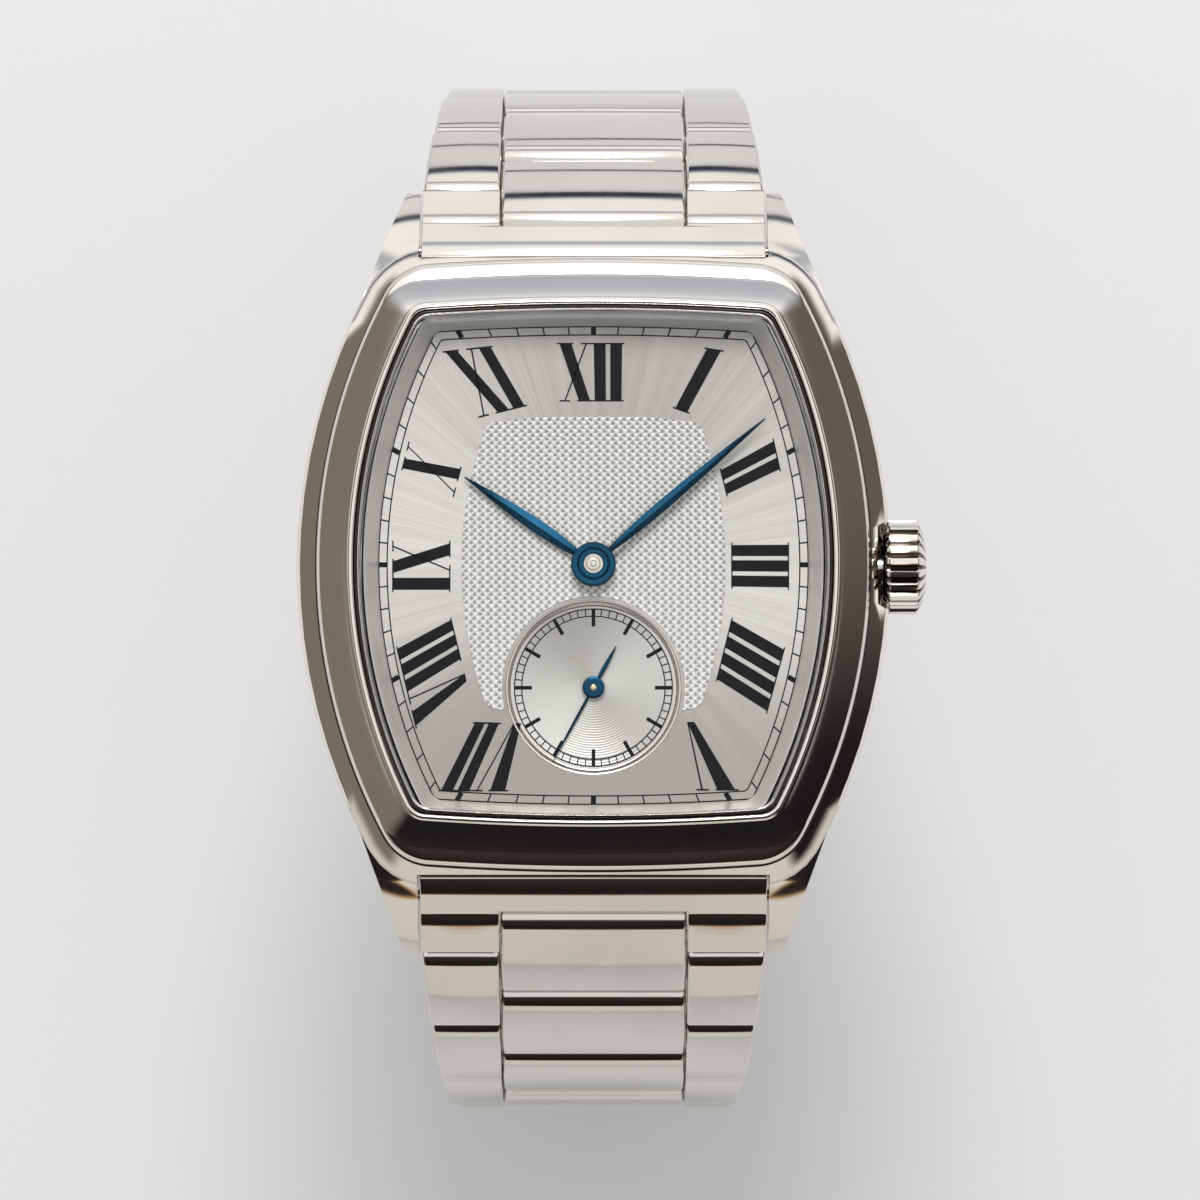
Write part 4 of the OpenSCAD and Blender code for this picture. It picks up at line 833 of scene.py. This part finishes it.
# The end links fill the gaps between the lugs. Each is one milled steel block with a soft shoulder
# along the case, and a notch in its outer end where the first centre link turns on its pin.
link_steel = steel("link_steel", tint=(0.70, 0.68, 0.645), gloss=0.06)
first_hinge = (22.1, 2.58)
half_thick = 1.5
arm_slope, bar_slope = math.radians(34), math.radians(38)
end_half_w, notch_half_w, centre_half_w = 10.85, 5.925, 5.825
case_side_y, under_z = 19.45, -0.35


# Points of an arc in side view, from one tilt of its surface in degrees to another
def arc_points(foot, r, first, last, count):
    a = math.radians(first)
    middle = (foot[0] - r * math.sin(a), foot[1] - r * math.cos(a))
    tilts = [math.radians(first + (last - first) * i / count) for i in range(count + 1)]
    return [(middle[0] + r * math.sin(t), middle[1] + r * math.cos(t)) for t in tilts]


def row_between(p, q, count):
    return [tuple(a + (b - a) * i / count for a, b in zip(p, q)) for i in range(count)]


# A point given by its distance along the end link's slope from the first hinge, and out from it
def by_hinge(s, t):
    return (first_hinge[0] + s * math.cos(arm_slope) + t * math.sin(arm_slope),
        first_hinge[1] - s * math.sin(arm_slope) + t * math.cos(arm_slope))


# Turns a piece of the 12 o'clock side into its partner on the 6 o'clock side
def mirrored(piece):
    piece.data.transform(Matrix.Scale(-1, 4, (0, 1, 0)))
    piece.data.flip_normals()


# The side view runs from the arms' tip up to the step, round it, and over the bar against the case
step_y, bar_y = 22.55, 20.85
tip = by_hinge(half_thick, half_thick)
step_foot = (step_y, tip[1] + (tip[0] - step_y) * math.tan(arm_slope))
arms = [(y, z + 0.012 * math.sin(math.pi * (tip[0] - y) / (tip[0] - step_y)))
    for y, z in row_between(tip, step_foot, 8)]
step = arc_points(step_foot, 2, 34, 12, 7)
bar_foot = (bar_y, step[-1][1] + (step[-1][0] - bar_y) * math.tan(bar_slope))
bar = arc_points(bar_foot, 2.9, 38, 9, 12)
under = [(case_side_y, under_z), (21.6, under_z), by_hinge(half_thick, -half_thick)]
end_profile = under + arms + step[:-1] + row_between(step[-1], bar_foot, 8) + bar + \
    [(case_side_y, bar[-1][1] - 0.15)]
notch_r, notch_wall = 1.64, -1.45
hollow = [math.radians(-20 + 11 * i) for i in range(10)]
notch = [by_hinge(notch_wall, 4), by_hinge(notch_wall, 0.766)] + \
    [by_hinge(-notch_r * math.cos(a), -notch_r * math.sin(a)) for a in hollow] + \
    [by_hinge(0, -notch_r), by_hinge(0, -5), by_hinge(6, -5), by_hinge(6, 4)]
for node in ("end_link_12", "end_link_6"):
    piece = drawn_out([(-end_half_w, y, z) for y, z in end_profile], (2 * end_half_w, 0, 0))
    piece.name = piece.data.name = node + "_form"
    cut(piece, drawn_out([(-notch_half_w, y, z) for y, z in notch], (2 * notch_half_w, 0, 0)))
    rounded(piece, 0.13, 40)
    if node == "end_link_6":
        mirrored(piece)
    finished(piece, link_steel, "case", node, angle=38)


# Every link is two outer blocks and a centre block. Their case ends are round and run under the outer
# ends of the links before them; their tops are softly domed, and all faces are mirror polished.
link_reach, first_slope, slope_change = 7, 47, 13.7
slopes = [math.radians(first_slope + slope_change * i) for i in range(8)]
hinges = [first_hinge]
for a in slopes:
    hinges.append((hinges[-1][0] + link_reach * math.cos(a), hinges[-1][1] - link_reach * math.sin(a)))
first_width, width_loss, last_width = 21.7, 1.05, 16
half_widths = [max(last_width, first_width - width_loss * i) / 2 for i in range(9)]
outer_start, taper_length = 1.75, 7.1
dome_r = 14
dome_middle = half_thick - dome_r


# Side view of a block: a round end, a softly domed top that runs on from it, and a plain end
def block_side(start, end, peak):
    lean = math.asin((peak - start - half_thick) / -dome_middle)
    middle = (start + half_thick, dome_middle - dome_middle * math.cos(lean))
    low = [(middle[0] - half_thick * math.cos(a), middle[1] - (half_thick + middle[1]) * math.sin(a))
        for a in [math.pi / 2 * i / 8 for i in range(8, 0, -1)]]
    turns = [math.pi / 2 + (lean - math.pi / 2) * i / 12 for i in range(13)]
    round_end = [(middle[0] - half_thick * math.sin(a), middle[1] + half_thick * math.cos(a)) for a in turns]
    last_lean = math.asin((end - peak) / dome_r)
    leans = [lean - (lean + last_lean) * i / 12 for i in range(1, 13)]
    dome = [(peak - dome_r * math.sin(a), dome_r * math.cos(a) + dome_middle) for a in leans]
    return low + round_end + dome + [(end, -half_thick)]


# One block, from its inner side out to its width at the link's start and at the next link's
def link_block(place, profile, inner, outer, outer_next):
    block = drawn_out([(inner, s, t) for s, t in profile], (outer - inner, 0, 0))
    rounded(block, 0.19, 40)
    a, (y, z) = slopes[place - 1], hinges[place - 1]
    for point in block.data.vertices:
        x, s, t = point.co / mm
        share = (x - inner) / (outer - inner)
        x += (outer_next - outer) * share * max(0, min(1, (s - outer_start) / taper_length))
        turned_y, turned_z = s * math.cos(a) + t * math.sin(a), t * math.cos(a) - s * math.sin(a)
        point.co = Vector((x, y + turned_y, z + turned_z)) * mm
    return block


outer_side, centre_side = block_side(outer_start, 8.48, 5.4), block_side(-half_thick, 5.28, 2.4)
for side in ("12", "6"):
    polished_copy(f"link_{side}_8", 0.13, link_steel)
    for place in range(1, 8):
        width, narrow = half_widths[place - 1], half_widths[place]
        blocks = [link_block(place, outer_side, notch_half_w, width, narrow),
            link_block(place, outer_side, -notch_half_w, -width, -narrow),
            link_block(place, centre_side, -centre_half_w, centre_half_w, centre_half_w)]
        if side == "6":
            for block in blocks:
                mirrored(block)
        joined(f"polished_link_{side}_{place}", blocks, link_steel, f"link_{side}_{place}_body",
            f"link_{side}_{place}", angle=38)


# The folding clasp: two pierced spring-steel blades fold flat inside a polished cover with raised
# sides, and turn on riveted pins. The cover's spring bar lies in the last link's pivot.
blade_steel = steel("blade_steel", tint=(0.74, 0.725, 0.70), gloss=0.2, marks=2.0, grain=(2600, 60, 2600))
polished_copy("clasp_inner_blade", 0.06, blade_steel)
polished_copy("clasp_middle_blade", 0.06, blade_steel)
cover_steel = steel("cover_steel", tint=(0.81, 0.785, 0.745), gloss=0.1)
polished_copy("clasp_cover", 0.16, cover_steel)


# The case back is a turned steel disc with a chamfered rim and a circular brushed face, and four
# slotted screws hold it.
back_steel, lathe = new_finish("turned_back")
x, y, _ = lathe.place().split()
radius = (x * x + y * y) ** 0.5
turn = y.maths("ARCTAN2", x)
rings = lathe.node("ShaderNodeTexNoise", {"noise_dimensions": "1D"}, {"W": radius * 9000, "Detail": 3.0})
sweep = lathe.node("ShaderNodeTexNoise", {"noise_dimensions": "1D"}, {"W": turn * 3, "Detail": 1.0})
lathe.surface({"Base Color": sweep.step(0.3, 0.7).colour((0.70, 0.68, 0.65, 1), (0.78, 0.76, 0.72, 1)),
    "Metallic": 1.0, "Roughness": rings.step(0.3, 0.7, 0.24, 0.38), "Normal": rings.bump(0.25, 0.01)})
polished_copy("case_back", 0.07, back_steel)
screw_steel = steel("screw_steel", tint=(0.80, 0.78, 0.75), gloss=0.14)
polished_copy("case_back_screws", 0.04, screw_steel)


# The movement is closed in: brass plate and bridges with a satin plating, gilt wheels, steel
# pinions and blued screws. The gaskets are black rubber.
def plain_finish(name, tint, other, metallic, rough, scale, strength):
    made, start = new_finish(name)
    cloud = start.place().noise(scale, 4.0)
    start.surface({"Base Color": cloud.step(0.3, 0.7).colour((*tint, 1), (*other, 1)), "Metallic": metallic,
        "Roughness": cloud.step(0.2, 0.8, rough, rough + 0.12), "Normal": cloud.bump(strength, 0.01)})
    return made


satin_plate = plain_finish("satin_plate", (0.70, 0.66, 0.58), (0.78, 0.75, 0.68), 0.9, 0.3, 1500.0, 0.3)
gilt_brass = plain_finish("gilt_brass", (0.72, 0.54, 0.26), (0.80, 0.63, 0.33), 0.95, 0.22, 900.0, 0.15)
pinion_steel = plain_finish("pinion_steel", (0.60, 0.59, 0.58), (0.70, 0.69, 0.68), 1.0, 0.16, 1200.0, 0.1)
black_rubber = plain_finish("black_rubber", (0.02, 0.02, 0.021), (0.035, 0.035, 0.036), 0.0, 0.6, 2500.0, 0.4)
inside = {
    "main_plate": satin_plate, "barrel_bridge": satin_plate, "train_bridge": satin_plate,
    "balance_cock": satin_plate, "barrel": gilt_brass, "centre_wheel": gilt_brass, "third_wheel": gilt_brass,
    "fourth_wheel": gilt_brass, "minute_wheel": gilt_brass, "hour_wheel": gilt_brass,
    "balance_wheel": gilt_brass, "escape_wheel": pinion_steel, "pallet_fork": pinion_steel,
    "cannon_pinion": pinion_steel, "winding_stem": pinion_steel, "movement_ring": pinion_steel,
    "crown_tube": pinion_steel, "bridge_screws": blued, "hairspring": blued, "crown_gasket": black_rubber,
    "case_back_gasket": black_rubber, "spring_bars": pinion_steel, "clasp_spring_bar": pinion_steel}
for node, finish in inside.items():
    shown = frame["nodes"][node].data
    shown.materials.clear()
    shown.materials.append(finish)
